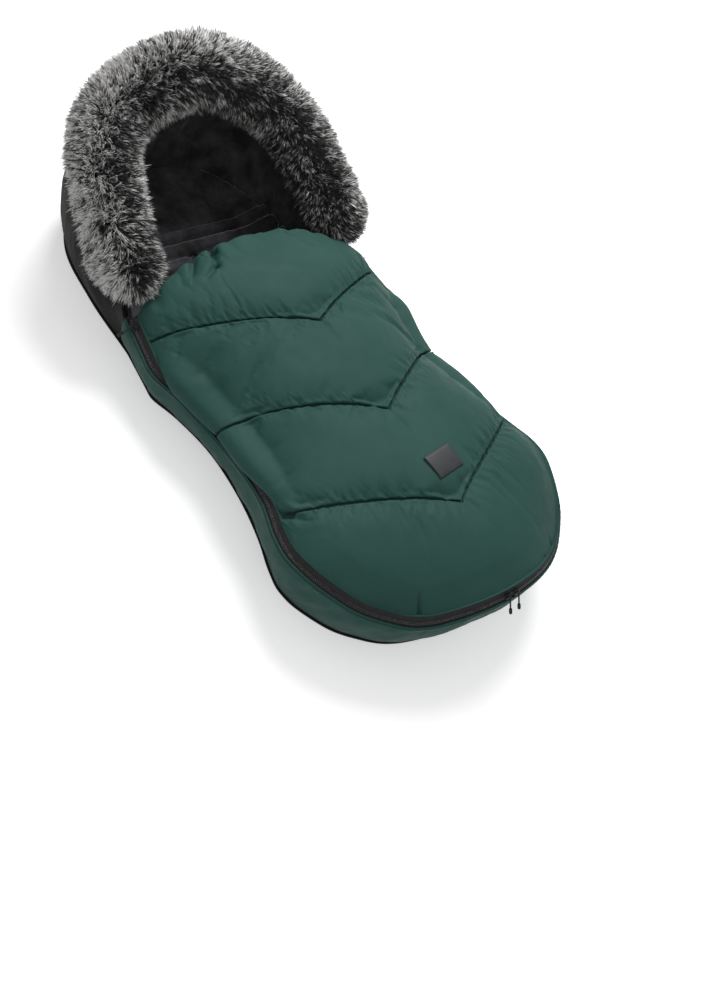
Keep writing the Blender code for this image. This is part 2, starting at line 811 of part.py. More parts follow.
def rim_line():
    """Top edge of the hood, over the same stations as its foot."""
    neck = off_zip(1.0, BASE_TAPE + SOFT_GAP, WALL_TOP)
    half = [Vector((neck.x, neck.y + NECK_GAP, neck.z))]
    half += [sized(shares, HOOD_HEIGHT) for shares in RIM_SIDE_SHARES]
    return Path(closed_over(half))


HEAD = head_line()
RIM = rim_line()


def fur_frame(share):
    """Middle of the fur roll over the rim, the way it runs, its width and its face."""
    rim = RIM.at(share)
    middle = 1 - abs(2 * share - 1)
    tilt = FUR_SIDE_TILT + (FUR_TOP_TILT - FUR_SIDE_TILT) * ease(middle)
    face = Vector((0, -math.sin(tilt), math.cos(tilt)))
    along = RIM.tangent(share)
    face = (face - along * face.dot(along)).normalized()
    return rim, along, along.cross(face), face


def hood_rows(share, depth, low):
    """Points up the hood at a depth inside its outer face, from a height up to the rim under the fur."""
    foot = HEAD.at(share)
    rim, _, _, face = fur_frame(share)
    neck = level_out(1.0 if share < 0.5 else 0.0)
    past_neck = ease(min(share, 1 - share) / NECK_SPAN_SHARE)
    level = neck.lerp(HEAD.tangent(share).cross(UP).normalized(), past_neck)
    rim_along = RIM.tangent(share)
    rim_level = neck.lerp(Vector((rim_along.x, rim_along.y, 0)).cross(UP).normalized(), past_neck)
    top = rim.z - SOFT_GAP + min(depth * rim_level.dot(face) / face.z, 0)
    column = []
    for z in wall_heights(low, top, HOOD_ROWS):
        part = (z - PANEL_TOP) / (rim.z - PANEL_TOP)
        place = foot.lerp(rim, ease(part))
        out = level.lerp(rim_level, part).normalized()
        bulge = HOOD_BULGE * math.sin(math.pi * part) * past_neck
        place = place + out * (bulge - depth)
        column.append(Vector((place.x, place.y, z)))
    return column


def build_hood():
    """Padded hood from the back panel up to its rim, and its plush lining."""
    shares = [index / HOOD_STATIONS for index in range(HOOD_STATIONS + 1)]
    outer = [hood_rows(share, 0.0, PANEL_TOP) for share in shares]
    inner = [hood_rows(share, HOOD_THICKNESS, PANEL_TOP) for share in shares]
    add_piece("hood_shell", slab_mesh("hood_shell", outer, inner), CLOTH_BLACK)
    high = LINING_TOP + GAP
    near = [hood_rows(share, HOOD_THICKNESS + SOFT_GAP, high) for share in shares]
    far = [hood_rows(share, HOOD_THICKNESS + SOFT_GAP + HOOD_LINING_THICKNESS, high) for share in shares]
    add_piece("hood_lining", slab_mesh("hood_lining", near, far), PLUSH_BLACK)


def build_fur():
    """Roll of fur that sits on the hood's rim, round at both ends."""
    first = FUR_START / RIM.length
    rings = []
    for ring in range(FUR_RINGS + 1):
        turn = math.cos(math.pi * ring / FUR_RINGS)
        part = ring / FUR_RINGS * (1 - FUR_CROWD_SHARE) + (1 - turn) / 2 * FUR_CROWD_SHARE
        part = FUR_TIP_SHARE + (1 - 2 * FUR_TIP_SHARE) * part
        share = first + (1 - 2 * first) * part
        from_end = min(part, 1 - part) * (1 - 2 * first) * RIM.length
        swell = math.sqrt(1 - max(1 - from_end / FUR_ROUND, 0) ** 2)
        rim, _, wide, face = fur_frame(share)
        centre = rim + face * (FUR_HALF_DEPTH + SOFT_GAP)
        points = []
        for side in range(FUR_SIDES):
            angle = 2 * math.pi * side / FUR_SIDES
            reach = wide * math.cos(angle) * FUR_HALF_WIDTH + face * math.sin(angle) * FUR_HALF_DEPTH
            points.append(centre + reach * swell)
        rings.append(points)
    add_piece("fur_trim", sweep_mesh("fur_trim", rings), FUR_GREY)


def back_outline(inset):
    """Outline of the back, inside the outer feet of the gusset and the hood."""
    outline = []
    for index in range(0, ZIP_STATIONS + 1, OUTLINE_STEP):
        foot = gusset_foot(index / ZIP_STATIONS, inset)
        outline.append((foot.x, foot.y))
    for index in range(1, HOOD_STATIONS):
        share = index / HOOD_STATIONS
        level = HEAD.tangent(share).cross(UP).normalized()
        foot = HEAD.at(share) - level * inset
        outline.append((foot.x, foot.y))
    return outline


def slot_outline(length, width, y):
    """Long round-ended outline of a harness slot."""
    radius = width / 2
    outline = []
    for end in (1, -1):
        for step in range(SLOT_END_STEPS + 1):
            angle = math.pi * step / SLOT_END_STEPS + (0 if end > 0 else math.pi)
            centre = y + end * (length / 2 - radius)
            outline.append((radius * math.cos(angle), centre + radius * math.sin(angle)))
    return outline


def prism_mesh(name, outline, low, high):
    """Upright prism over an outline."""
    rings = [[Vector((x, y, z)) for x, y in outline] for z in (low, high)]
    return sweep_mesh(name, rings)


SLOTS = (
    ("shoulder_slot", SHOULDER_SLOT_LENGTH, SHOULDER_SLOT_Y_SHARE * LENGTH),
    ("crotch_slot", CROTCH_SLOT_LENGTH, CROTCH_SLOT_Y_SHARE * LENGTH),
)


def combine(piece, name, mesh, operation):
    """Join a hidden body to a piece, or cut the piece with it."""
    tool = bpy.data.objects.new(piece.name + "_" + name, mesh)
    bpy.context.scene.collection.objects.link(tool)
    tool.matrix_world = piece.matrix_world
    tool.hide_render = True
    tool.display_type = "WIRE"
    step = piece.modifiers.new(name, "BOOLEAN")
    step.operation = operation
    step.object = tool


def cut_slots(piece):
    """Cut both harness slots through a layer of the back."""
    for name, length, y in SLOTS:
        outline = slot_outline(length, SLOT_WIDTH, y)
        mesh = prism_mesh(name, outline, -CUT_OVERRUN, LINING_TOP + CUT_OVERRUN)
        combine(piece, name, mesh, "DIFFERENCE")


def cut_channels(piece):
    """Press the sewn channels of the neck into the plush of the back."""
    for index, share in enumerate(CHANNEL_Y_SHARES):
        y = share * LENGTH
        rings = []
        for x in (-HALF_WIDTH, HALF_WIDTH):
            ring = [Vector((x, y - CHANNEL_WIDTH / 2, LINING_TOP)), Vector((x, y, LINING_TOP - CHANNEL_DEPTH))]
            ring += [Vector((x, y + CHANNEL_WIDTH / 2, LINING_TOP)), Vector((x, y, LINING_TOP + CUT_OVERRUN))]
            rings.append(ring)
        name = "channel_" + str(index)
        combine(piece, name, sweep_mesh(name, rings), "DIFFERENCE")


def build_back():
    """Outer panel, padding and plush of the back, each with both slots, and the slots' bindings."""
    inside = WALL_THICKNESS + LAYER_CLEAR
    layers = (
        ("back_panel", -PANEL_MARGIN, 0, PANEL_THICKNESS, CLOTH_BLACK),
        ("back_padding", inside, PANEL_TOP, LINING_BASE - GAP, CLOTH_BLACK),
        ("back_lining", inside, LINING_BASE, LINING_TOP, PLUSH_BLACK),
    )
    for name, inset, low, high, colour in layers:
        piece = add_piece(name, prism_mesh(name, back_outline(inset), low, high), colour)
        cut_slots(piece)
    cut_channels(piece)
    for name, length, y in SLOTS:
        outer = slot_outline(length - 2 * GAP, SLOT_WIDTH - 2 * GAP, y)
        less = 2 * GAP + 2 * SLOT_BINDING
        inner = slot_outline(length - less, SLOT_WIDTH - less, y)
        top = LINING_TOP + BINDING_RISE
        rings = [[Vector((x, y, z)) for x, y in outer] for z in (GAP, top)]
        rings += [[Vector((x, y, z)) for x, y in inner] for z in (top, GAP)]
        mesh = sweep_mesh(name + "_binding", rings, closed_ends=False)
        add_piece(name + "_binding", mesh, CLOTH_BLACK)


SLIDER_LOW = -TAPE_UNDER - SLIDER_CLEAR
SLIDER_HIGH = TEETH_RISE + SLIDER_CLEAR
BAIL_BASE = SLIDER_HIGH + SLIDER_PLATE
BAIL_AXIS = BAIL_BASE + BAIL_RISE - BAIL_THICKNESS / 2


def slider_mesh():
    """Slider in its own frame: X along the zip, Y out across the tape, Z off the tape."""
    wide = SLIDER_HALF_WIDTH
    thin = SLIDER_FIN
    profile = (
        (-wide, SLIDER_LOW - SLIDER_PLATE),
        (wide, SLIDER_LOW - SLIDER_PLATE),
        (wide, SLIDER_LOW),
        (thin, SLIDER_LOW),
        (thin, SLIDER_HIGH),
        (wide, SLIDER_HIGH),
        (wide, BAIL_BASE),
        (-wide, BAIL_BASE),
        (-wide, SLIDER_HIGH),
        (-thin, SLIDER_HIGH),
        (-thin, SLIDER_LOW),
        (-wide, SLIDER_LOW),
    )
    rings = []
    for x in (-SLIDER_LENGTH / 2, SLIDER_LENGTH / 2):
        rings.append([Vector((x, y, z)) for y, z in profile])
    return sweep_mesh("zip_slider", rings)


def bail_mesh():
    """Staple on top of the slider that holds its pull."""
    half = BAIL_SPAN / 2
    wall = BAIL_THICKNESS
    low = BAIL_BASE - SLIDER_PLATE / 2
    high = BAIL_BASE + BAIL_RISE
    outline = ((-half, low), (-half, high), (half, high), (half, low))
    hole = half - wall
    outline += ((hole, low), (hole, high - wall), (-hole, high - wall), (-hole, low))
    rings = []
    for y in (-wall / 2, wall / 2):
        rings.append([Vector((x, y, z)) for x, z in outline])
    return sweep_mesh("zip_bail", rings)


def pull_mesh():
    """Pull that hangs on the bail's bar: X along the bar, Y out along the pull, from the bar."""
    radius = PULL_WIDTH / 2
    outline = []
    hole = []
    for middle, start in ((PULL_LENGTH - radius, -math.pi / 2), (0, math.pi / 2)):
        for step in range(PULL_END_STEPS + 1):
            angle = start + math.pi * step / PULL_END_STEPS
            outline.append((middle + radius * math.cos(angle), radius * math.sin(angle)))
            angle = start + math.pi * (step + 0.5) / (PULL_END_STEPS + 1)
            hole.append((PULL_EYE / 2 * math.cos(angle), PULL_EYE / 2 * math.sin(angle)))
    sides = (-PULL_THICKNESS / 2, PULL_THICKNESS / 2)
    rings = [[Vector((x, y, z)) for y, z in outline] for x in sides]
    rings += [[Vector((x, y, z)) for y, z in hole] for x in reversed(sides)]
    return sweep_mesh("zip_pull", rings, closed_ends=False)


def frame_matrix(point, along, out, off):
    """Matrix that puts a slider's own frame on the zip: X back along it, Y out and Z off the tape."""
    turn = Matrix((-along, out, off)).transposed().to_4x4()
    return Matrix.Translation(point) @ turn


def foot_slider_matrix(side):
    """Place of a foot slider: the middle of the foot, turned about the arc's axis."""
    middle = Vector((1, 0, 0)), -FOOT_ARC_AXIS, -FOOT_ARC_INWARD
    at_middle = frame_matrix(FOOT_ZIP, *middle)
    angle = side * FOOT_SLIDER_SPACING / 2 / FOOT_ARC_RADIUS
    turn = Matrix.Rotation(angle, 4, FOOT_ARC_AXIS)
    centre = Matrix.Translation(FOOT_ARC_CENTRE)
    return centre @ turn @ centre.inverted() @ at_middle


def top_slider_matrix(side):
    """Place of a top slider, near the end of the zip."""
    share = zip_share(TOP_SLIDER_Y_SHARE * LENGTH)
    return frame_matrix(*zip_frame(share if side > 0 else 1 - share))


def build_sliders():
    """Two sliders at the foot and two at the top ends, each with a bail and a pull."""
    foot_arc = add_axis("foot_arc_axis", FOOT_ARC_CENTRE)
    places = (
        ("foot_left", foot_slider_matrix(-1), foot_arc),
        ("foot_right", foot_slider_matrix(1), foot_arc),
        ("top_left", top_slider_matrix(-1), None),
        ("top_right", top_slider_matrix(1), None),
    )
    for name, place, arc in places:
        slider = add_piece("zip_slider_" + name, slider_mesh(), METAL_BLACK, METAL_ROUGHNESS, 1.0)
        slider.matrix_world = place
        combine(slider, "bail", bail_mesh(), "UNION")
        pull = add_piece("zip_pull_" + name, pull_mesh(), METAL_BLACK, METAL_ROUGHNESS, 1.0)
        pull.matrix_world = place @ Matrix.Translation((0, 0, BAIL_AXIS))
        bpy.context.view_layer.update()
        hang(pull, slider)
        if arc:
            hang(slider, arc)


def hang_moving_pieces():
    """Carry the upper half of the apron on its fold and the fur on the hood's hinge at the neck."""
    fold = add_axis("apron_fold_axis", Vector((0, SEAM_LINES[1](0) + FOLD_GAP / 2, FOLD_HEIGHT)))
    neck_place = Vector((0, HOOD_AXIS_Y_SHARE * LENGTH, HOOD_AXIS_Z_SHARE * HOOD_HEIGHT))
    neck = add_axis("hood_neck_axis", neck_place)
    for name in FLAP_PIECES:
        hang(bpy.data.objects[name], fold)
    hang(bpy.data.objects["fur_trim"], neck)


def main():
    clear_scene()
    build_back()
    build_gusset()
    build_zip()
    build_apron()
    build_patch()
    build_hood()
    build_fur()
    build_sliders()
    hang_moving_pieces()


main()
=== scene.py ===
import math

import bpy
import numpy as np
from mathutils import Matrix, Vector, kdtree, noise


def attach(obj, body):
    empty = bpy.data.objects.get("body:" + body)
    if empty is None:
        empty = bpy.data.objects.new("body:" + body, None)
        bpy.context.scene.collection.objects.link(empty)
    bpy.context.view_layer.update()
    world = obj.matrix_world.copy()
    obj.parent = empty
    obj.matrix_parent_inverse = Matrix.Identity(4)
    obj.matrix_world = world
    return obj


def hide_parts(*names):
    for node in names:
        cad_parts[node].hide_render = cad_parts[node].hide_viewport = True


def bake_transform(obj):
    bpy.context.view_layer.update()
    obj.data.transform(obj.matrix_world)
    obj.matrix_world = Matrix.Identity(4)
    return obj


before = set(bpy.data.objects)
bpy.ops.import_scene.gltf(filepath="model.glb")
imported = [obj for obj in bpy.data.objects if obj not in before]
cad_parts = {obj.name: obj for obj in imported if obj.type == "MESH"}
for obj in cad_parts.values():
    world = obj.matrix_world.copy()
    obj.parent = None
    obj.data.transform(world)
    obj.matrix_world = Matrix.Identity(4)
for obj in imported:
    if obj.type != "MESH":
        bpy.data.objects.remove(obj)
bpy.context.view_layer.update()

# Whole bag, as in the model
LENGTH = 0.88
HALF_WIDTH = 0.23
APRON_HEIGHT = 0.15
FOOT_INSET = 0.0202
FOOT_ZIP_HEIGHT = 0.115
FOOT_ARC_RADIUS = 0.27
FOOT_ARC_REACH = math.radians(25)
FOOT_ARC_STEPS = 5
FOOT_ARC_TILT = math.radians(40)
ZIP_SLOPE = math.radians(50)
SLOPE_BLEND = 0.06
ZIP_SIDE_SHARES = (
    (0.604, -0.4415, 0.630),
    (0.730, -0.4160, 0.625),
    (0.843, -0.3860, 0.630),
    (0.925, -0.3500, 0.645),
    (0.991, -0.3045, 0.650),
    (1.000, -0.2727, 0.630),
    (0.974, -0.2420, 0.610),
    (0.900, -0.1860, 0.600),
    (0.842, -0.1136, 0.520),
    (0.830, -0.0340, 0.450),
    (0.872, 0.0260, 0.465),
)
STRAIGHT_START_SHARE = (0.935, 0.085, 0.493)
STRAIGHT_END_SHARE = (0.885, 0.170, 0.550)
STRAIGHT_STEPS = 4
CURVE_STEPS = 12
TANGENT_SHARE = 0.002
SIDE_STEPS = 400

# Zip
APRON_TAPE = 0.010
BASE_TAPE = 0.007
TAPE_UNDER = 0.0006
TAPE_OVER = 0.0002
TEETH_REACH = 0.0023
TEETH_RISE = 0.0013
TEETH_GAP = 0.0003
TOOTH_PITCH = 0.0024
TOOTH_LENGTH = 0.0013
SOFT_GAP = 0.0005
STOP_LENGTH = 0.004
APRON_EDGE = -APRON_TAPE - SOFT_GAP
WALL_EDGE = BASE_TAPE + SOFT_GAP
TAPE_POINTS = 6
TOOTH_TOP_SHARE = 0.6
TOOTH_SHIFT_SHARE = 0.25

# Apron
SEAM_SHARES = (
    (0.0220, 0.117, 0.90),
    (-0.1550, -0.053, 0.85),
    (-0.3330, -0.220, 0.85),
)
HEM_TIP_SHARE = 0.207
HEM_END_SHARE = 0.157
HEM_BOW_SHARE = 2.2
HEM_SHARES = (HEM_TIP_SHARE, HEM_END_SHARE, HEM_BOW_SHARE)
ARCH_POWER_SHARE = 2.2
ARCH_ROUND_SHARE = 0.85
RIDGE_HEIGHT = 0.147
HEM_DROP = 0.012
SEAM_THICKNESS = 0.005
EDGE_OVER = 0.0032
EDGE_UNDER = 0.0020
BAFFLE_RISE = 0.0095
BAFFLE_DEPTH = 0.011
BAFFLE_ROUND_SHARE = 0.5
CROWN_REACH = 0.10
FOOT_SIDE = 0.02
LINING_THICKNESS = 0.0035
HEM_RADIUS = 0.006
HEM_STEPS = 8
HEM_SWELL_SHARE = 0.07
ACROSS_POINTS = 321
BAFFLE_POINTS = 72
ROW_PACK_SHARE = 0.9
COLUMN_PACK_SHARE = 0.5
SEAM_GROOVE = 0.0045
SEAM_GROOVE_WIDTH = 0.0012
EDGE_FADE_SHARE = 0.10
ROLL_SPAN = 0.13
ROLL_PINCH_SHARE = 0.24
ROLL_START = -0.215
ROLL_END = 0.090
ROLL_BLEND = 0.125
ROLL_END_BLEND = 0.065
# Steps of the rolled edge, each out and up from the zip
ROLL_PROFILE = (
    (0.0030, 0.0018),
    (0.0075, -0.0030),
    (0.0145, -0.0062),
    (0.0200, -0.0020),
    (0.0205, 0.0060),
    (0.0160, 0.0140),
    (0.0060, 0.0215),
    (-0.0220, 0.0290),
)
ROLL_HOLD_SHARE = 0.45
LAP_ACROSS_SHARE = 0.8
LAP_ROWS_SHARE = 0.5
OVERLAP = 0.0060
OVERLAP_SPAN = 0.036
FOOT_SHIFT_SHARE = 0.1
TIP_ROUND_SHARE = 0.35
STITCH_PITCH = 0.0034
STITCH_LENGTH = 0.0024
STITCH_WIDTH = 0.0005
PUCKER_LENGTH = 0.010
PUCKER_REACH = 0.013
PUCKER_DEPTH = 0.0017
GATHER_LENGTH = 0.020
GATHER_REACH = 0.030
GATHER_DEPTH = 0.0014
SAG_LENGTH = 0.085
SAG_DEPTH = 0.0012
EDGE_CALM = 0.012
EDGE_CALM_SHARE = 0.02
# Each pleat: where it starts and ends on the floor plan, its depth and its width
PLEATS = (
    (-0.061, 0.186, -0.080, 0.149, 0.0120, 0.0048),
    (-0.080, 0.149, -0.105, 0.135, 0.0055, 0.0032),
    (-0.096, 0.177, -0.117, 0.150, 0.0085, 0.0042),
    (0.060, 0.172, 0.080, 0.142, 0.0042, 0.0030),
    (0.094, 0.166, 0.106, 0.146, 0.0020, 0.0030),
    (-0.203, -0.197, -0.190, -0.222, 0.0045, 0.0030),
    (-0.196, -0.201, -0.212, -0.176, 0.0034, 0.0024),
    (0.202, -0.199, 0.190, -0.222, 0.0025, 0.0030),
)
# Each dart: its share of the zip, its length and its strength
DARTS = ((0.404, 0.032, 1.0), (0.588, 0.022, 0.45), (0.5635, 0.012, 0.5))
DART_DEPTH = 0.0060
DART_WIDTH = 0.0016
DART_EDGE = 0.007
SEAM_ROWS = [index * (BAFFLE_POINTS - 1) for index in (1, 2, 3)]

# Simulated cloth
CLOTH_ROWS = 34
CLOTH_COLUMNS = 121
CLOTH_FRAMES = 22
CLOTH_PRESSURE = 3.0
CLOTH_SURPLUS = 0.035
CLOTH_CAP = 0.006
CLOTH_START_SHARE = 0.5
PIN_SPACING = 0.034
PIN_SEED = 7
PIN_TRIES = 60
CLOTH_SETTINGS = {
    "quality": 6,
    "mass": 0.12,
    "tension_stiffness": 15,
    "compression_stiffness": 8,
    "shear_stiffness": 4,
    "bending_stiffness": 0.15,
    "air_damping": 2,
    "vertex_group_mass": "pins",
    "shrink_min": -CLOTH_SURPLUS,
    "use_pressure": True,
    "uniform_pressure_force": CLOTH_PRESSURE,
}

# Patch
PATCH_WIDTH = 0.050
PATCH_LENGTH = 0.034
PATCH_THICKNESS = 0.0014
PATCH_X = 0.010
PATCH_Y_SHARE = -0.2678
PATCH_TURN = math.radians(7)
PATCH_POINTS = 41
PATCH_BORDER = 0.0022
PATCH_STITCH_DEPTH = 0.0003
PATCH_STITCH_WIDTH = 0.0006
PATCH_ROUND = 0.0012
PATCH_SEAT = 0.003

# Back
PANEL_THICKNESS = 0.003
PANEL_MARGIN = 0.002
LAYER_CLEAR = 0.002
SLOT_WIDTH = 0.016
SLOT_BINDING = 0.002
SLOTS = (
    ("shoulder_slot", 0.12, 0.222 * LENGTH),
    ("crotch_slot", 0.06, -0.08 * LENGTH),
)
CHANNEL_Y_SHARES = (0.262, 0.290, 0.318)
CHANNEL_DEPTH = 0.007
ROLL_RISE = 0.010
FLANGE = 0.0035
SLOT_POINTS = 220
BACK_ROWS = 400
BACK_COLUMNS = 110
PANEL_STITCH_INSET = 0.012
PANEL_STITCH_WIDTH = 0.0022
PANEL_STITCH_DEPTH = 0.0012
PANEL_STITCH_LIMIT = 0.0018
PANEL_WAVE_LENGTH = 0.06
PANEL_WAVE_DEPTH = 0.0002
SLOT_STITCH_INSET = 0.008
SLOT_STITCH_WIDTH = 0.002
SLOT_DRAW = 0.010
SLOT_DRAW_DEPTH = 0.0045
SLOT_CALM = 0.012
CHANNEL_WIDTH = 0.0022
ROLL_SIDE_SHARE = 0.9
ROLL_SIDE_BLEND_SHARE = 0.3
LIP_HEIGHT = 0.014
LIP_START = 0.002
LIP_RISE = 0.005
LIP_TOP = 0.010
LIP_FALL = 0.05
LIP_Y = 0.19
LIP_BLEND = 0.06
PLUSH_ROUND = 0.006
PLUSH_CALM = 0.02
PLUSH_WAVE_LENGTH = 0.05
PLUSH_WAVE_DEPTH = 0.002
TUFT_LENGTH = 0.014
TUFT_DEPTH = 0.0012
OUTLINE_STEP = 1e-7
OUTLINE_WIDTH = 1e-4

# Gusset
PANEL_TOP = 0.0033
LINING_TOP = 0.0256
FLARE = 0.025
WALL_THICKNESS = 0.008
WALL_TOP = 0.0015
WALL_BULGE = 0.006
WALL_TAPER_START_SHARE = 0.6
GAP = 0.0003
WALL_POINTS = 22
ZIP_POINTS = 420
PIPING_RADIUS = 0.0014
PIPING_SEAT = 0.9 * PIPING_RADIUS
PIPING_SIDES = 10
PIPING_WOBBLE_SHARE = 0.12
PIPING_WOBBLE_RATE = 900
RUMPLE_LENGTH = 0.045
RUMPLE_DEPTH = 0.0035
RUMPLE_STRETCH_SHARE = 0.35
RUMPLE_FADE_SHARE = 0.15

# Hood
HOOD_HEIGHT = 0.223
NECK_GAP = 0.0002
HEAD_SIDE_SHARES = ((0.765, 0.280), (0.690, 0.385), (0.480, 0.455), (0.220, 0.478), (0.0, 0.482))
RIM_SIDE_SHARES = (
    (0.830, 0.227, 0.400),
    (0.795, 0.295, 0.528),
    (0.757, 0.352, 0.640),
    (0.695, 0.400, 0.720),
    (0.580, 0.440, 0.800),
    (0.385, 0.464, 0.895),
    (0.175, 0.472, 0.970),
    (0.0, 0.473, 1.0),
)
HOOD_THICKNESS = 0.008
HOOD_LINING_THICKNESS = 0.005
HOOD_BULGE = 0.020
NECK_SPAN_SHARE = 0.125
HOOD_POINTS = 260
HOOD_ROWS = 60
FOLD_LENGTH = 0.05
FOLD_DEPTH = 0.004
CROWN_SEAM_WIDTH = 0.0025
CROWN_SEAM_DEPTH = 0.0018
HOOD_GATHER_LENGTH = 0.045
HOOD_GATHER_DEPTH = 0.009
TILT_START = (0, 0.153, 0.079)
TILT_END = (0, 0.180, 0.175)

# Fur
FUR_HALF_WIDTH = 0.047
FUR_HALF_DEPTH = 0.030
FUR_SIDE_TILT = math.radians(33)
FUR_TOP_TILT = math.radians(49)
FUR_START = 0.030
FUR_ROUND = 0.045
FUR_PIECES = 8
FUR_STRANDS = 14000
FUR_CLUMPS = 3900
FUR_SKIN = 0.013
FUR_LENGTH = 0.025
FUR_ROOT_RADIUS = 0.00052
FUR_SEED = 11
SWIRL_LENGTH = 0.05
FUR_PATCH_LENGTH = 0.035
FUR_SHADE_SPAN = 0.2
STRAND_STEPS = (0.0, 0.4, 0.75)
STRAND_TAPER_SHARE = 0.25
FUR_ROLL_POINTS = 160
FUR_ROLL_SIDES = 36
FUR_ROLL_END_SHARES = (0.002, 0.998)

# How the strands are combed: outward, along the arch, down and in swirls, and how much of it they follow
COMB_OUT_SHARE = 0.35
COMB_ALONG_SHARE = 0.55
COMB_DOWN_SHARE = 0.2
COMB_SWIRL_SHARE = 0.6
COMB_SHARE = 0.8
SHORTEST_SHARE = 0.6
LENGTH_SPREAD_SHARE = 0.5
LONG_FROM_SHARE = 0.96
LONG_EXTRA_SHARE = 0.2
JITTER_SHARE = 0.27
BEND_JITTER_SHARE = 0.6
BEND_SHARE = 0.45
CLUMP_PULL_SHARE = 0.35
CLUMP_PULL_SPREAD_SHARE = 0.45
CLUMP_BEND_SHARE = 0.35

# How pale a strand is: by chance, by its clump and, as painted light, by its way outward; then by its place
# on the roll: a base offset, painted shade to the right and over the crown, patches, and painted light on the
# inner side at the left
PALE_CHANCE_SHARE = 0.16
PALE_CLUMP_SHARE = 0.62
OUTWARD_PAINTED_LIGHT_SHARE = 0.22
PALE_BASE_SHARE = 0.065
RIGHT_PAINTED_SHADE_SHARE = 0.05
CROWN_PAINTED_SHADE_SHARE = 0.20
PALE_PATCH_SHARE = 0.10
INNER_LEFT_PAINTED_LIGHT_SHARE = 0.18
CROWN_ANGLE = 1.75
CROWN_ANGLE_SPREAD = 0.65
INNER_START_SHARE = 0.55
INNER_BLEND_SHARE = 0.4

# Slot bindings: each ring's distance from the slot's middle line and its lift off the plush, if it lies there
BINDING_LIP = 0.0006
BINDING_RISE = 0.0019
BINDING_EDGE = 0.0009
BINDING_CLEAR = 0.0002
BINDING_TUCK = 0.0025
BINDING_GATHER = 0.0005
BINDING_GATHER_RATE = 38
BINDING_BEND_SHARE = 0.25
SLOT_HALF = SLOT_WIDTH / 2
BINDING_RINGS = (
    (SLOT_HALF - SLOT_BINDING, None),
    (SLOT_HALF - GAP, None),
    (SLOT_HALF - GAP, -BINDING_TUCK),
    (SLOT_HALF + FLANGE, BINDING_CLEAR),
    (SLOT_HALF + FLANGE + BINDING_LIP, BINDING_EDGE),
    (SLOT_HALF + FLANGE * 0.5, BINDING_RISE),
    (SLOT_HALF - SLOT_BINDING * 0.4, BINDING_RISE),
    (SLOT_HALF - SLOT_BINDING, BINDING_EDGE),
)

# Sliders and pulls
SLIDER_LENGTH = 0.011
SLIDER_HALF_WIDTH = 0.0043
SLIDER_PLATE = 0.0015
PLATE_POINTS = 36
PLATE_ROUND_SHARE = 0.55
PLATE_RING_SHARES = ((0, 0.88), (0.2, 1), (0.8, 1), (1, 0.88))
SLIDER_CLEAR = 0.0004
SLIDER_SPACING = 0.0165
TOP_SLIDER_Y = 0.150 * LENGTH
BAIL_SPAN = 0.0082
BAIL_THICKNESS = 0.0012
BAIL_RISE = 0.0034
BAIL_POINTS = 15
BAIL_ROUND_SHARE = 0.6
PULL_LENGTH = 0.024
EYE_POINTS = 26
EYE_SIDES = 10
STEM_POINTS = 60
KNOB_START_SHARE = 0.58
KNOB_START_BLEND_SHARE = 0.08
KNOB_END_SHARE = 0.93
KNOB_END_BLEND_SHARE = 0.07
KNOB_END_DROP_SHARE = 0.75
KNOB_RIDGE_RATE = 150
RIDGES_START_SHARE = 0.66
RIDGES_END_SHARE = 0.92
SLIDER_LOW = -TAPE_UNDER - SLIDER_CLEAR
SLIDER_HIGH = TEETH_RISE + SLIDER_CLEAR
BAIL_BASE = SLIDER_HIGH + SLIDER_PLATE
BAIL_AXIS = BAIL_BASE + BAIL_RISE - BAIL_THICKNESS / 2
BAIL_SINK = 0.0004
PLATE_NARROW_SHARE = 0.22
EYE_RADIUS = 0.0020
EYE_TUBE = 0.0006
PULL_RADIUS = 0.00105
PULL_TIP_RADIUS = 0.0003
KNOB_RIDGE = 0.00016

# Looks: heights of the bumps and pitches of the threads
CRINKLE_HEIGHT = 0.0012
NYLON_PITCH = 0.0007
NYLON_THREAD_HEIGHT = 0.00008
POLYESTER_PITCH = 0.0009
POLYESTER_THREAD_HEIGHT = 0.0002
SEWING_THREAD_PITCH = 0.0004
TUFT_HEIGHT = 0.0012
PILE_HEIGHT = 0.0005
TWILL_HEIGHT = 0.0002
TEETH_GRAIN = 0.0001
PAINT_GRAIN = 0.00008
RUBBER_GRAIN = 0.00012

# Camera and studio
CAMERA_PLACE = Vector((-1.181107, -0.664545, 1.356213))
CAMERA_RIGHT = Vector((0.705828, -0.582138, 0.403637))
CAMERA_DOWN = Vector((-0.319876, -0.770320, -0.551622))
CAMERA_AHEAD = Vector((0.632050, 0.260236, -0.729925))
FOCAL_PIXELS = 1361.834
PHOTO_HEIGHT = 1000
SENSOR = 36.0
ROOM_LIGHT = 0.41
ROOM_SEEN = 1.0
FLOOR_GLOW = 0.42
FLOOR_HALF = 12.0
FLOOR_DROP = 0.0003
LIGHT_TARGET = (0, 0, 0.1)
KEY_PLACE = (0.9, 1.1, 1.9)
KEY_SIZE = 1.4
KEY_POWER = 46
FILL_PLACE = (-1.6, -1.2, 1.5)
FILL_SIZE = 1.8
FILL_POWER = 5

UP = np.array((0.0, 0.0, 1.0))
FOOT_ZIP = np.array((0, FOOT_INSET - LENGTH / 2, FOOT_ZIP_HEIGHT))
FOOT_ARC_INWARD = np.array((0, math.cos(FOOT_ARC_TILT), -math.sin(FOOT_ARC_TILT)))
FOOT_ARC_AXIS = np.array((0, math.sin(FOOT_ARC_TILT), math.cos(FOOT_ARC_TILT)))
FOOT_ARC_CENTRE = FOOT_ZIP + FOOT_ARC_INWARD * FOOT_ARC_RADIUS
MIRROR = np.array((-1.0, 1.0, 1.0))


def ease(share):
    """Smooth step from 0 to 1."""
    share = np.clip(share, 0, 1)
    return share * share * (3 - 2 * share)


def unit(vectors):
    return vectors / np.linalg.norm(vectors, axis=-1, keepdims=True)


def blend_points(first, second, share):
    return first + (second - first) * np.asarray(share)[..., None]


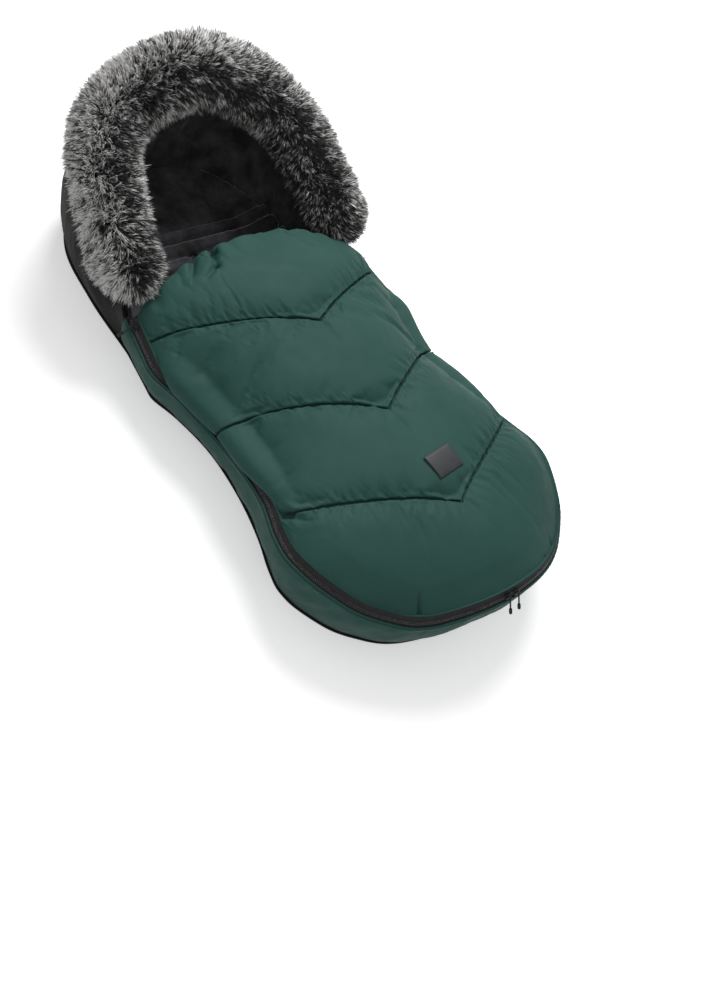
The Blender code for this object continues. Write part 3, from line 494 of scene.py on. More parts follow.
def dot(first, second):
    return np.sum(first * second, axis=-1, keepdims=True)


def smooth(points):
    """Close points on a curve through the given ones, with no overshoot where their spacing is uneven."""
    points = np.array(points)
    steps = points[1:] - points[:-1]
    gaps = np.linalg.norm(steps, axis=1)
    slopes = steps / gaps[:, None]
    before = gaps[:-1, None]
    after = gaps[1:, None]
    inner = (slopes[:-1] * after + slopes[1:] * before) / (before + after)
    tangents = np.vstack((slopes[:1], inner, slopes[-1:]))
    t = (np.arange(CURVE_STEPS) / CURVE_STEPS)[None, :, None]
    close = points[:-1, None] * (2 * t ** 3 - 3 * t ** 2 + 1)
    close = close + (tangents[:-1] * gaps[:, None])[:, None] * (t ** 3 - 2 * t ** 2 + t)
    close = close + points[1:, None] * (3 * t ** 2 - 2 * t ** 3)
    close = close + (tangents[1:] * gaps[:, None])[:, None] * (t ** 3 - t ** 2)
    return np.vstack((close.reshape(-1, 3), points[-1:]))


def lengths_along(points):
    """Distances from the first point along a line, or along each column of a grid."""
    steps = np.linalg.norm(points[1:] - points[:-1], axis=-1)
    return np.concatenate((np.zeros((1,) + steps.shape[1:]), np.cumsum(steps, axis=0)))


def read_line(goal, lengths, points):
    """Points of a line where its growing lengths reach a goal."""
    return np.stack([np.interp(goal, lengths, points[:, axis]) for axis in range(3)], -1)


class Path:
    """A smooth curve that is read by its share of length, from 0 to 1."""

    def __init__(self, points):
        self.close = smooth(points)
        self.lengths = lengths_along(self.close)
        self.length = self.lengths[-1]

    def at(self, share):
        return read_line(np.clip(share, 0, 1) * self.length, self.lengths, self.close)

    def tangent(self, share):
        share = np.asarray(share)
        return unit(self.at(share + TANGENT_SHARE) - self.at(share - TANGENT_SHARE))


def sized(shares, height):
    """Real place of a point given in shares of the half width, the length and a height."""
    return np.array((shares[0] * HALF_WIDTH, shares[1] * LENGTH, shares[2] * height))


def foot_arc_point(angle):
    """Point of the zip where it rounds the foot, at an angle from its middle."""
    side = np.array((1.0, 0, 0)) * math.sin(angle)
    return FOOT_ARC_CENTRE + (side - FOOT_ARC_INWARD * math.cos(angle)) * FOOT_ARC_RADIUS


def zip_line():
    """The line where the teeth meet, from the top left end round the foot to the top right end."""
    half = [foot_arc_point(FOOT_ARC_REACH * step / FOOT_ARC_STEPS) for step in range(FOOT_ARC_STEPS + 1)]
    half += [sized(shares, APRON_HEIGHT) for shares in ZIP_SIDE_SHARES]
    start = sized(STRAIGHT_START_SHARE, APRON_HEIGHT)
    end = sized(STRAIGHT_END_SHARE, APRON_HEIGHT)
    half += [start + (end - start) * step / STRAIGHT_STEPS for step in range(STRAIGHT_STEPS + 1)]
    return Path([point * MIRROR for point in reversed(half[1:])] + half)


ZIP = zip_line()


def zip_frame(share):
    """Point, direction, way out across the tape and way off the tape, at shares of the zip."""
    share = np.asarray(share, dtype=float)
    point = ZIP.at(share)
    along = ZIP.tangent(share)
    level = unit(np.cross(along, UP))
    out = level * math.cos(ZIP_SLOPE) - UP * math.sin(ZIP_SLOPE)
    arc_end = math.sin(FOOT_ARC_REACH) * FOOT_ARC_RADIUS
    turn = ease((np.abs(point[..., 0]) - arc_end) / SLOPE_BLEND)
    out = blend_points(-FOOT_ARC_AXIS, out, turn)
    out = unit(out - along * dot(out, along))
    return point, along, out, np.cross(out, along)


def off_zip(share, out, off=0.0):
    """Points beside the zip: out across the tape and off it."""
    point, _, across, away = zip_frame(share)
    out = np.asarray(out, dtype=float)
    off = np.asarray(off, dtype=float)
    return point + across * out[..., None] + away * off[..., None]


def side_table(out):
    """Shares of the zip and their points beside it, from the middle of the foot up the right side."""
    shares = 0.5 + np.arange(SIDE_STEPS + 1) / SIDE_STEPS / 2
    return shares, off_zip(shares, out)


ZIP_SIDE = side_table(0)
EDGE_SIDE = side_table(APRON_EDGE)


def table_place(table, y):
    """Shares and points of a side table at a y."""
    shares, points = table
    return np.interp(y, points[:, 1], shares), read_line(y, points[:, 1], points)


def seam_y(shares, across):
    """Place of a seam along the bag, at places across."""
    tip, end, bow = shares
    return (tip + (end - tip) * np.abs(across) ** bow) * LENGTH


def ridge(y):
    """Height of the quilted seams on the middle line."""
    top = (SEAM_SHARES[0][0] + HEM_TIP_SHARE) / 2 * LENGTH
    end = HEM_TIP_SHARE * LENGTH
    return RIDGE_HEIGHT - HEM_DROP * ease((y - top) / (end - top))


def arch_point(across, y):
    """Points of the apron's stitched surface, without the swell of its baffles."""
    edge = table_place(EDGE_SIDE, y)[1]
    rise = (1 - np.abs(across) ** ARCH_POWER_SHARE) ** ARCH_ROUND_SHARE
    z = edge[..., 2] + (ridge(y) - edge[..., 2]) * rise
    return np.stack((across * edge[..., 0], y, z), -1)


def grid_normals(points):
    """Upward normals of a grid of points."""
    along = np.empty_like(points)
    along[1:-1] = points[2:] - points[:-2]
    along[0] = points[1] - points[0]
    along[-1] = points[-1] - points[-2]
    across = np.empty_like(points)
    across[:, 1:-1] = points[:, 2:] - points[:, :-2]
    across[:, 0] = points[:, 1] - points[:, 0]
    across[:, -1] = points[:, -1] - points[:, -2]
    return unit(np.cross(across, along))


def packed(count, share):
    """Even shares from 0 to 1, packed closer near both ends by a share."""
    even = np.linspace(0, 1, count)
    return even * (1 - share) + (1 - np.cos(np.pi * even)) / 2 * share


# Meshes

def mesh_piece(name, points, faces, look, uv=None, smooth_shading=True):
    """Piece made of a mesh, with its material and, if given, a place in metres for each point."""
    mesh = bpy.data.meshes.new(name)
    points = np.asarray(points, dtype=np.float32).reshape(-1, 3)
    faces = [np.asarray(group, dtype=np.int32) for group in faces if len(group)]
    counts = np.concatenate([np.full(len(group), group.shape[1]) for group in faces])
    corners = np.concatenate([group.ravel() for group in faces])
    mesh.vertices.add(len(points))
    mesh.vertices.foreach_set("co", points.ravel())
    mesh.loops.add(len(corners))
    mesh.loops.foreach_set("vertex_index", corners)
    mesh.polygons.add(len(counts))
    starts = np.concatenate(((0,), np.cumsum(counts)[:-1])).astype(np.int32)
    mesh.polygons.foreach_set("loop_start", starts)
    mesh.update(calc_edges=True)
    if uv is not None:
        layer = mesh.uv_layers.new(name="cloth")
        flat = np.asarray(uv, dtype=np.float32).reshape(-1, 2)[corners]
        layer.data.foreach_set("uv", flat.ravel())
    if smooth_shading:
        mesh.shade_smooth()
    if look:
        mesh.materials.append(look)
    piece = bpy.data.objects.new(name, mesh)
    bpy.context.scene.collection.objects.link(piece)
    return piece


def grid_quads(rows, columns, start=0):
    """Faces of a grid whose points lie row by row, facing up when rows run on and columns to the right."""
    row, column = np.meshgrid(np.arange(rows - 1), np.arange(columns - 1), indexing="ij")
    first = (start + row * columns + column).ravel()
    return np.stack((first, first + 1, first + columns + 1, first + columns), -1)


def grid_uv(points):
    """Distances along the columns and the rows of a grid, in metres."""
    across = lengths_along(points.swapaxes(0, 1)).T
    return np.stack((across - across[:, -1:] / 2, lengths_along(points)), -1)


def slab(name, top, bottom, look, keep=None):
    """Closed piece between two grids of the same rows and columns, of only the cells to keep if given."""
    rows, columns = top.shape[:2]
    count = rows * columns
    over = grid_quads(rows, columns)
    if keep is not None:
        over = over[keep.ravel()]
    under = over[:, ::-1] + count
    starts = over.ravel()
    ends = np.roll(over, -1, axis=1).ravel()
    open_edge = ~np.isin(starts * count + ends, ends * count + starts)
    starts = starts[open_edge]
    ends = ends[open_edge]
    sides = np.stack((starts, starts + count, ends + count, ends), -1)
    points = np.concatenate((top.reshape(-1, 3), bottom.reshape(-1, 3)))
    place = grid_uv(top).reshape(-1, 2)
    place = np.concatenate((place, place))
    faces = np.concatenate((over, under, sides))
    used, faces = np.unique(faces, return_inverse=True)
    return mesh_piece(name, points[used], (faces.reshape(-1, 4),), look, place[used])


def swept(name, rings, look, closed=False):
    """Piece through rings of points, facing outwards."""
    points, faces = tube_mesh(rings, closed)
    corners = points[faces[0]]
    volume = np.sum(dot(corners[:, 0], np.cross(corners[:, 1], corners[:, 2])))
    volume += np.sum(dot(corners[:, 0], np.cross(corners[:, 2], corners[:, 3])))
    if volume < 0:
        faces = [group[:, ::-1] for group in faces]
    return mesh_piece(name, points, faces, look, points[:, :2])


def tube_mesh(rings, closed=False):
    """Points and faces of a body through rings of points, with caps unless it closes on itself."""
    rings = np.asarray(rings)
    count, sides = rings.shape[:2]
    index = np.arange(count * sides).reshape(count, sides)
    after = np.roll(index, -1, axis=1)
    first = index if closed else index[:-1]
    first_after = after if closed else after[:-1]
    second = np.roll(index, -1, axis=0) if closed else index[1:]
    second_after = np.roll(after, -1, axis=0) if closed else after[1:]
    quads = np.stack((first, first_after, second_after, second), -1).reshape(-1, 4)
    faces = [quads]
    if not closed:
        faces.append(index[:1, ::-1])
        faces.append(index[-1:])
    return rings.reshape(-1, 3), faces


def waves(places, length, seed, octaves=2, stretch=1.0):
    """Smooth noise from -1 to 1 at places in metres, with features of a length. A stretch under 1 draws them
    out along the second axis."""
    places = np.asarray(places, dtype=float) * np.array((1.0, stretch))
    flat = places.reshape(-1, 2)
    values = np.empty(len(flat))
    for index, (x, y) in enumerate(flat):
        values[index] = noise.fractal(Vector((x / length, y / length, seed * 3.7)), 0.8, 2.1, octaves)
    return values.reshape(places.shape[:-1])


def around(count):
    """Even angles round a circle."""
    return np.linspace(0, 2 * np.pi, count, endpoint=False)


def faded(share, start, end):
    """Ease in over a start share and out over an end share."""
    return ease(share / start) * ease((1 - share) / end)


def point_tree(points):
    """Tree that finds the nearest of some points."""
    tree = kdtree.KDTree(len(points))
    for order, point in enumerate(points):
        tree.insert(point, order)
    tree.balance()
    return tree


# Bodies whose pieces are baked where they stand, with two points each: the apron over the
# height of its second chevron, the hood from the neck, where it is sewn to the bag, up to its rim
FOLD_Y = [float(seam_y(SEAM_SHARES[1], np.array(across))) for across in (0.0, 1.0)]
BENDS = {
    "apron_flap": [(0, y, RIDGE_HEIGHT) for y in FOLD_Y],
    "hood_rim": [TILT_START, TILT_END],
}


def dress(piece, slot, body, *nodes, fill=None):
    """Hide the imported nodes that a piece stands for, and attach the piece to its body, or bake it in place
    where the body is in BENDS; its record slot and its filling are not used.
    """
    if nodes:
        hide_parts(*nodes)
    if body in BENDS:
        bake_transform(piece)
    else:
        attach(piece, body)


# Materials

def set_inputs(node, **inputs):
    """Values of a node's inputs, by their names with _ for each space."""
    for name, value in inputs.items():
        node.inputs[name.replace("_", " ")].default_value = value


def new_look(name, colour, roughness, metallic=0.0):
    """Principled material and its shader node."""
    look = bpy.data.materials.new(name)
    look.use_nodes = True
    shader = look.node_tree.nodes["Principled BSDF"]
    set_inputs(shader, Base_Color=(*colour, 1), Roughness=roughness, Metallic=metallic)
    look.diffuse_color = (*colour, 1)
    return look, shader


def add_node(look, kind, settings=(), **inputs):
    """New node with its settings and the values of its inputs."""
    node = look.node_tree.nodes.new(kind)
    for name, value in dict(settings).items():
        setattr(node, name, value)
    set_inputs(node, **inputs)
    return node


def join(look, source, target):
    look.node_tree.links.new(source, target)


def object_place(look):
    return add_node(look, "ShaderNodeTexCoord").outputs["Object"]


def cloth_place(look):
    return add_node(look, "ShaderNodeUVMap", {"uv_map": "cloth"}).outputs["UV"]


def noise_texture(look, place, scale, detail=3.0, roughness=0.5, stretch=None):
    """Noise at a scale per metre, stretched along the axes if asked."""
    if stretch:
        mapping = add_node(look, "ShaderNodeMapping", Scale=stretch)
        join(look, place, mapping.inputs["Vector"])
        place = mapping.outputs["Vector"]
    texture = add_node(look, "ShaderNodeTexNoise", Scale=scale, Detail=detail, Roughness=roughness)
    join(look, place, texture.inputs["Vector"])
    return texture.outputs["Fac"]


def colour_ramp(look, factor, stops):
    """Colours along a factor: each stop is a place and a colour."""
    ramp = add_node(look, "ShaderNodeValToRGB")
    elements = ramp.color_ramp.elements
    while len(elements) < len(stops):
        elements.new(0.5)
    for element, (place, colour) in zip(elements, stops):
        element.position = place
        element.color = (*colour, 1)
    join(look, factor, ramp.inputs["Fac"])
    return ramp.outputs["Color"]


def shaded(look, shader, factor, *stops):
    """Base colour along a factor: each stop is a place and a colour."""
    join(look, colour_ramp(look, factor, stops), shader.inputs["Base Color"])


def tinted(colour, share):
    """A colour made darker or lighter by a share."""
    return tuple(value * share for value in colour)


def spread(look, factor, low, high):
    """The same factor, spread from its own middle range to a new range."""
    mapped = add_node(look, "ShaderNodeMapRange", From_Min=0.3, From_Max=0.7, To_Min=low, To_Max=high)
    join(look, factor, mapped.inputs["Value"])
    return mapped.outputs["Result"]


def bump(look, shader, *heights):
    """Bumps one on another: each is a factor, a height in metres and a strength."""
    before = None
    for factor, distance, strength in heights:
        node = add_node(look, "ShaderNodeBump", Strength=strength, Distance=distance)
        join(look, factor, node.inputs["Height"])
        if before:
            join(look, before, node.inputs["Normal"])
        before = node.outputs["Normal"]
    join(look, before, shader.inputs["Normal"])


def weave(look, place, pitch):
    """Plain weave of threads at a pitch."""
    bands = []
    for direction in ("X", "Y"):
        settings = {"wave_type": "BANDS", "bands_direction": direction, "wave_profile": "SIN"}
        band = add_node(look, "ShaderNodeTexWave", settings, Scale=math.pi / 10 / pitch)
        join(look, place, band.inputs["Vector"])
        bands.append(band.outputs["Fac"])
    both = add_node(look, "ShaderNodeMath", {"operation": "MULTIPLY"})
    join(look, bands[0], both.inputs[0])
    join(look, bands[1], both.inputs[1])
    return both.outputs[0]


def nylon_look():
    """Smooth down-proof nylon: fine weave, soft crinkles and a faint sheen."""
    look, shader = new_look("green_nylon_cloth", (0.027, 0.080, 0.067), 0.6)
    solid = object_place(look)
    shade = noise_texture(look, solid, scale=9, detail=4)
    shaded(look, shader, shade, (0.3, (0.025, 0.075, 0.063)), (0.7, (0.030, 0.087, 0.073)))
    rough = spread(look, noise_texture(look, solid, scale=40), low=0.54, high=0.66)
    join(look, rough, shader.inputs["Roughness"])
    set_inputs(shader, Specular_IOR_Level=0.1, Sheen_Weight=0.01, Sheen_Roughness=0.4)
    set_inputs(shader, Sheen_Tint=(0.55, 0.8, 0.72, 1))
    crinkle = noise_texture(look, solid, scale=60, detail=4, roughness=0.55, stretch=(1, 0.5, 1))
    threads = weave(look, cloth_place(look), NYLON_PITCH)
    bump(look, shader, (crinkle, CRINKLE_HEIGHT, 0.35), (threads, NYLON_THREAD_HEIGHT, 0.4))
    return look


def plush_look():
    """Short dense pile, brushed in patches."""
    colour = (0.047, 0.046, 0.050)
    look, shader = new_look("black_plush", colour, 0.85)
    solid = object_place(look)
    brushed = noise_texture(look, solid, scale=28, detail=5, roughness=0.65)
    shaded(look, shader, brushed, (0.35, tinted(colour, 0.45)), (0.7, tinted(colour, 2.0)))
    set_inputs(shader, Sheen_Weight=1.0, Sheen_Roughness=0.35, Sheen_Tint=(0.75, 0.74, 0.8, 1))
    set_inputs(shader, Specular_IOR_Level=0.2)
    pile = noise_texture(look, solid, scale=900, roughness=0.7)
    tufts = noise_texture(look, solid, scale=160, detail=4, roughness=0.6)
    bump(look, shader, (tufts, TUFT_HEIGHT, 0.5), (pile, PILE_HEIGHT, 0.7))
    return look


def cloth_look(name, colour, pitch=POLYESTER_PITCH):
    """Plain woven polyester."""
    look, shader = new_look(name, colour, 0.8)
    solid = object_place(look)
    shade = noise_texture(look, solid, scale=25, detail=4)
    shaded(look, shader, shade, (0.3, tinted(colour, 0.8)), (0.7, tinted(colour, 1.35)))
    set_inputs(shader, Sheen_Weight=0.02, Specular_IOR_Level=0.2)
    crinkle = noise_texture(look, solid, scale=70, detail=4)
    threads = weave(look, cloth_place(look), pitch)
    bump(look, shader, (crinkle, CRINKLE_HEIGHT, 0.3), (threads, POLYESTER_THREAD_HEIGHT, 0.6))
    return look


def tape_look():
    """Herringbone zip tape."""
    look, shader = new_look("zip_tape_cloth", (0.010, 0.010, 0.011), 0.75)
    place = cloth_place(look)
    settings = {"wave_type": "BANDS", "bands_direction": "DIAGONAL"}
    twill = add_node(look, "ShaderNodeTexWave", settings, Scale=420)
    join(look, place, twill.inputs["Vector"])
    shade = noise_texture(look, place, scale=120)
    shaded(look, shader, shade, (0.3, (0.008, 0.008, 0.008)), (0.7, (0.016, 0.016, 0.016)))
    bump(look, shader, (twill.outputs["Fac"], TWILL_HEIGHT, 0.6))
    return look


def teeth_look():
    """Moulded zip teeth, pale grey in random patches; the paleness is partly painted highlight for the light
    dots along the chain.
    """
    look, shader = new_look("zip_teeth_plastic", (0.090, 0.091, 0.095), 0.22)
    solid = object_place(look)
    shade = noise_texture(look, solid, scale=300)
    shaded(look, shader, shade, (0.3, (0.045, 0.045, 0.047)), (0.7, (0.170, 0.171, 0.175)))
    bump(look, shader, (noise_texture(look, solid, scale=1500, detail=2), TEETH_GRAIN, 0.3))
    return look


def metal_look():
    """Black painted zinc, rubbed paler in small random patches."""
    look, shader = new_look("black_painted_metal", (0.018, 0.018, 0.020), 0.38, metallic=0.6)
    solid = object_place(look)
    rubbed = noise_texture(look, solid, scale=500, detail=4, roughness=0.6)
    shaded(look, shader, rubbed, (0.5, (0.016, 0.016, 0.018)), (0.78, (0.075, 0.074, 0.076)))
    rough = spread(look, noise_texture(look, solid, scale=220), low=0.3, high=0.5)
    join(look, rough, shader.inputs["Roughness"])
    bump(look, shader, (noise_texture(look, solid, scale=900, detail=2), PAINT_GRAIN, 0.35))
    return look


def patch_look():
    """Soft moulded rubber."""
    look, shader = new_look("slate_rubber", (0.023, 0.026, 0.030), 0.55)
    solid = object_place(look)
    shade = noise_texture(look, solid, scale=90)
    shaded(look, shader, shade, (0.3, (0.019, 0.022, 0.026)), (0.7, (0.027, 0.030, 0.034)))
    grain = noise_texture(look, solid, scale=1800, detail=2, roughness=0.6)
    bump(look, shader, (grain, RUBBER_GRAIN, 0.45))
    return look


def fur_look():
    """Fur strand, dark at its root and, if its shade value is high, pale at its tip; the value is partly the
    strand's own tone and partly painted light and shade by its place on the roll.
    """
    base = (0.005, 0.005, 0.006)
    tip = (0.90, 0.89, 0.87)
    look, shader = new_look("salt_and_pepper_fur", base, 0.55)
    place = add_node(look, "ShaderNodeSeparateXYZ")
    join(look, cloth_place(look), place.inputs["Vector"])
    pale = colour_ramp(look, place.outputs["X"], ((0.25, base), (0.50, tip), (1.0, (0.96, 0.95, 0.93))))
    plain = colour_ramp(look, place.outputs["X"], ((0.5, base), (1.0, tinted(tip, 0.03))))
    chosen = add_node(look, "ShaderNodeMapRange", From_Min=0.52, From_Max=0.60)
    join(look, place.outputs["Y"], chosen.inputs["Value"])
    mixed = add_node(look, "ShaderNodeMix", {"data_type": "RGBA"})
    join(look, chosen.outputs["Result"], mixed.inputs["Factor"])
    join(look, plain, mixed.inputs["A"])
    join(look, pale, mixed.inputs["B"])
    join(look, mixed.outputs["Result"], shader.inputs["Base Color"])
    set_inputs(shader, Sheen_Weight=0.1, Specular_IOR_Level=0.4)
    return look


# Apron

def seam_places(index, across):
    """Place along the bag of a seam, or of the hem after the last one."""
    return seam_y(HEM_SHARES if index == 3 else SEAM_SHARES[2 - index], across)


def foot_shares(across):
    """Shares of the zip beside the foot baffle's edge, at places across."""
    last = table_place(EDGE_SIDE, seam_places(0, np.array(1.0)) - FOOT_SIDE)[0]
    return 0.5 + (last - 0.5) * across


def apron_middle(places, across):
    """Stitched surface, as rows at places (from 0 at the foot's zip over the seams at 1, 2 and 3 to the hem
    at 4), and the swell of its filling there."""
    across = across[None, :]
    edge = off_zip(foot_shares(across), APRON_EDGE)
    part = places[places < 1][:, None]
    rounding = TIP_ROUND_SHARE * ease(2 - 2 * part)
    from_tip = (np.hypot(across, rounding) - rounding) / (np.hypot(1, rounding) - rounding)
    seam = arch_point(across, seam_places(0, from_tip))
    foot = blend_points(edge, seam, part)
    foot[..., 2] = edge[..., 2] + (seam[..., 2] - edge[..., 2]) * np.sin(np.pi * part / 2) ** ARCH_ROUND_SHARE
    reach = np.minimum(np.linalg.norm(seam - edge, axis=-1) / CROWN_REACH, 1)
    grid = [foot]
    swell = [np.sin(np.pi * part) ** BAFFLE_ROUND_SHARE * reach]
    for index in range(3):
        low = seam_places(index, across)
        high = seam_places(index + 1, across)
        above = places >= index + 1
        chosen = places[above & ((places < index + 2) | (index == 2))]
        part = (chosen - index - 1)[:, None]
        y = low + (high - low) * part
        wide = np.broadcast_to(across, y.shape)
        points = arch_point(wide, y)
        grid.append(points)
        angle = np.pi * part * (1 - HEM_SWELL_SHARE * (index == 2))
        swell.append(np.broadcast_to(np.abs(np.sin(angle)) ** BAFFLE_ROUND_SHARE, y.shape))
    fade = ease((1 - np.abs(across)) / EDGE_FADE_SHARE)
    return np.concatenate(grid), np.concatenate(swell) * fade


def mirrored_pack(count, share):
    """Places across from -1 to 1, packed closer near both ends."""
    return packed(count, share) * 2 - 1


def apron_places():
    """Places of the rows: closer together near each seam."""
    part = packed(BAFFLE_POINTS, ROW_PACK_SHARE)
    return np.concatenate([part] + [part[1:] + index for index in (1, 2, 3)])


def line_dent(points, start_x, start_y, end_x, end_y, depth, width):
    """Depth of a crease along a line on the floor plan, and the fold that stands beside it."""
    start = np.array((start_x, start_y))
    run = np.array((end_x, end_y)) - start
    offset = points[..., :2] - start
    part = np.clip((offset @ run) / (run @ run), 0, 1)
    across = (offset[..., 0] * run[1] - offset[..., 1] * run[0]) / np.linalg.norm(run)
    away = np.linalg.norm(offset - part[..., None] * run, axis=-1)
    taper = 1 - 0.6 * part
    dent = -np.exp(-(away / width) ** 2) * depth * taper
    side = np.exp(-((away - 3 * width) / (2.2 * width)) ** 2) * depth * 0.35 * taper
    return dent + side * np.where(across > 0, 1.0, 0.35)


def dart_dent(across, part, lengths):
    """Short sewn darts that run in from the zip round the foot, and the fabric drawn in beside them."""
    share = foot_shares(across)
    nearest = share[0]
    total = np.zeros_like(share)
    for place, length, strength in DARTS:
        place = nearest[np.argmin(np.abs(nearest - place))]
        aside = np.abs(share - place) * ZIP.length
        fade = ease(1 - lengths / length)
        total -= np.exp(-(aside / DART_WIDTH) ** 2) * DART_DEPTH * np.sqrt(fade) * strength
        total -= np.exp(-(aside / (4 * DART_WIDTH)) ** 2) * DART_DEPTH * 0.4 * fade * strength
    return total * ease(lengths / DART_EDGE) * (part < 1)[:, None]


def lapped_edges(outer, middle, places, columns):
    """Filled edge pushed out along the zip's tape, so that it covers most of the apron's side of it."""
    close = (np.abs(columns)[None] > LAP_ACROSS_SHARE) | (places < LAP_ROWS_SHARE)[:, None]
    edge, _, out, _ = zip_frame(np.linspace(0, 1, 4 * ZIP_POINTS))
    tree = point_tree(edge + out * APRON_EDGE)
    found = [tree.find(point)[1:] for point in middle[close]]
    nearest = np.array([order for order, _ in found])
    distance = np.array([gap for _, gap in found])
    part = np.clip(distance / OVERLAP_SPAN, 0, 1)
    outer[close] += out[nearest] * (np.sin(np.pi * np.sqrt(part)) * OVERLAP)[:, None]


def rolled_edges(outer, middle, swell, columns):
    """Filled edges of the apron that roll out over the zip's tape."""
    border = np.abs(columns) > 1 - ROLL_SPAN
    profile = smooth([(out, 0, up) for out, up in ROLL_PROFILE])
    lengths = lengths_along(profile)
    part = (1 - np.abs(columns[border])) / ROLL_SPAN
    out, _, up = read_line(part * lengths[-1], lengths, profile).T
    edge = np.where(columns[border] < 0, 0, -1)
    side = np.sign(columns[border])
    rolled = middle[:, edge] + np.stack((out * side, 0 * out, up), -1)[None]
    rolled[..., 1] = outer[:, border, 1]
    y = middle[..., 1][:, edge]
    held = ease((y - ROLL_START) / ROLL_BLEND) * ease((ROLL_END - y) / ROLL_END_BLEND)
    held = held * (1 - ROLL_PINCH_SHARE * (1 - swell[:, border]))
    held = held * (1 - ease((part - ROLL_HOLD_SHARE) / (1 - ROLL_HOLD_SHARE)))[None]
    outer[:, border] = blend_points(outer[:, border], rolled, held)


def seam_reach(part_of_swell, columns):
    """Swell of the filling at each point, without its fade beside the zip."""
    fade = ease((1 - np.abs(columns)) / EDGE_FADE_SHARE)[None]
    inner = np.abs(columns) < 1 - EDGE_FADE_SHARE
    first = np.argmax(inner)
    last = len(columns) - 1 - first
    whole = part_of_swell / np.maximum(fade, 1e-6)
    whole[:, :first] = whole[:, first:first + 1]
    whole[:, last + 1:] = whole[:, last:last + 1]
    return whole


def apron_surfaces():
    """Outer and inner surface of the quilt."""
    places = apron_places()
    columns = mirrored_pack(ACROSS_POINTS, COLUMN_PACK_SHARE)
    middle, swell = apron_middle(places, columns)
    normals = grid_normals(middle)
    along = lengths_along(middle)
    to_seam = np.min([np.abs(along - along[row]) for row in SEAM_ROWS], axis=0)
    to_hem = along[-1] - along
    inner = middle - normals * (SEAM_THICKNESS + swell * BAFFLE_DEPTH)[..., None]
    sag = waves(np.stack((grid_uv(middle)[..., 0], along), -1), SAG_LENGTH, 5.0) * SAG_DEPTH
    filled = CLOTH_START_SHARE
    outer = middle + normals * (swell * (BAFFLE_RISE * filled + sag))[..., None]
    away = ease((1 - np.abs(columns)) / ROLL_SPAN)[None, :, None]
    away = away * (1 - (1 - FOOT_SHIFT_SHARE) * ease(2 - 2 * places))[:, None, None]
    outer = outer + cloth_shift(places, columns) * away
    pin_edges(outer, inner, places, columns)
    lapped_edges(outer, middle, places, columns)
    rolled_edges(outer, middle, seam_reach(swell, columns), columns)
    spot = np.stack((grid_uv(outer)[..., 0], along), -1)
    outer += grid_normals(outer) * fine_relief(spot, places, columns, to_seam, to_hem, middle)[..., None]
    pin_edges(outer, inner, places, columns)
    return outer, inner


def fine_relief(spot, places, columns, to_seam, to_hem, middle):
    """Stitched grooves, the puckers beside them, gathers at the hem, pleats and darts."""
    side_of_seam = np.floor(places + 0.5)[:, None] * 3 + (places % 1 > 0.5)[:, None]
    lean = np.stack((spot[..., 0] + to_seam * 0.35, side_of_seam * PUCKER_LENGTH * 5 + 0 * to_seam), -1)
    pucker = waves(lean, PUCKER_LENGTH, 3.0) * np.exp(-to_seam / PUCKER_REACH)
    pucker *= ease(to_seam / (2 * SEAM_GROOVE_WIDTH)) * PUCKER_DEPTH
    drawn = np.stack((spot[..., 0], 0.15 * to_hem), -1)
    gather = waves(drawn, GATHER_LENGTH, 8.0) * np.exp(-to_hem / GATHER_REACH) * GATHER_DEPTH
    dents = sum(line_dent(middle, *pleat) for pleat in PLEATS)
    from_edge = ease((1 - np.abs(columns)) / EDGE_CALM_SHARE)[None] * ease(spot[..., 1] / EDGE_CALM)
    groove = np.exp(-(to_seam / SEAM_GROOVE_WIDTH) ** 2) * SEAM_GROOVE
    total = (pucker + gather + dents - groove) * from_edge
    return total + dart_dent(np.broadcast_to(columns[None], total.shape), places, spot[..., 1])


def pin_edges(outer, inner, places, columns):
    """Set the edges beside the zip square to its tape."""
    foot_share = foot_shares(columns)
    in_foot = places < 1
    sides = ((outer, EDGE_OVER), (inner, -EDGE_UNDER))
    for surface, off in sides:
        surface[0] = off_zip(foot_share, APRON_EDGE, off)
    for column in (0, -1):
        share = table_place(EDGE_SIDE, outer[:, column, 1])[0]
        share = share if column else 1 - share
        seam_share = share[np.argmax(~in_foot)]
        share[in_foot] = foot_share[column] + (seam_share - foot_share[column]) * places[in_foot]
        for surface, off in sides:
            surface[:, column] = off_zip(share, APRON_EDGE, off)


def cubic(grid, places, axis):
    """Smooth reading of a grid at fractional places along an axis."""
    count = grid.shape[axis]
    low = np.clip(np.floor(places).astype(int), 0, count - 2)
    shape = [1] * grid.ndim
    shape[axis] = len(places)
    t = (places - low).reshape(shape)
    before, first, second, after = [
        np.take(grid, np.clip(low + step, 0, count - 1), axis) for step in (-1, 0, 1, 2)
    ]
    bend = 2 * before - 5 * first + 4 * second - after
    twist = 3 * (first - second) + after - before
    return first + 0.5 * t * (second - before + t * (bend + t * twist))


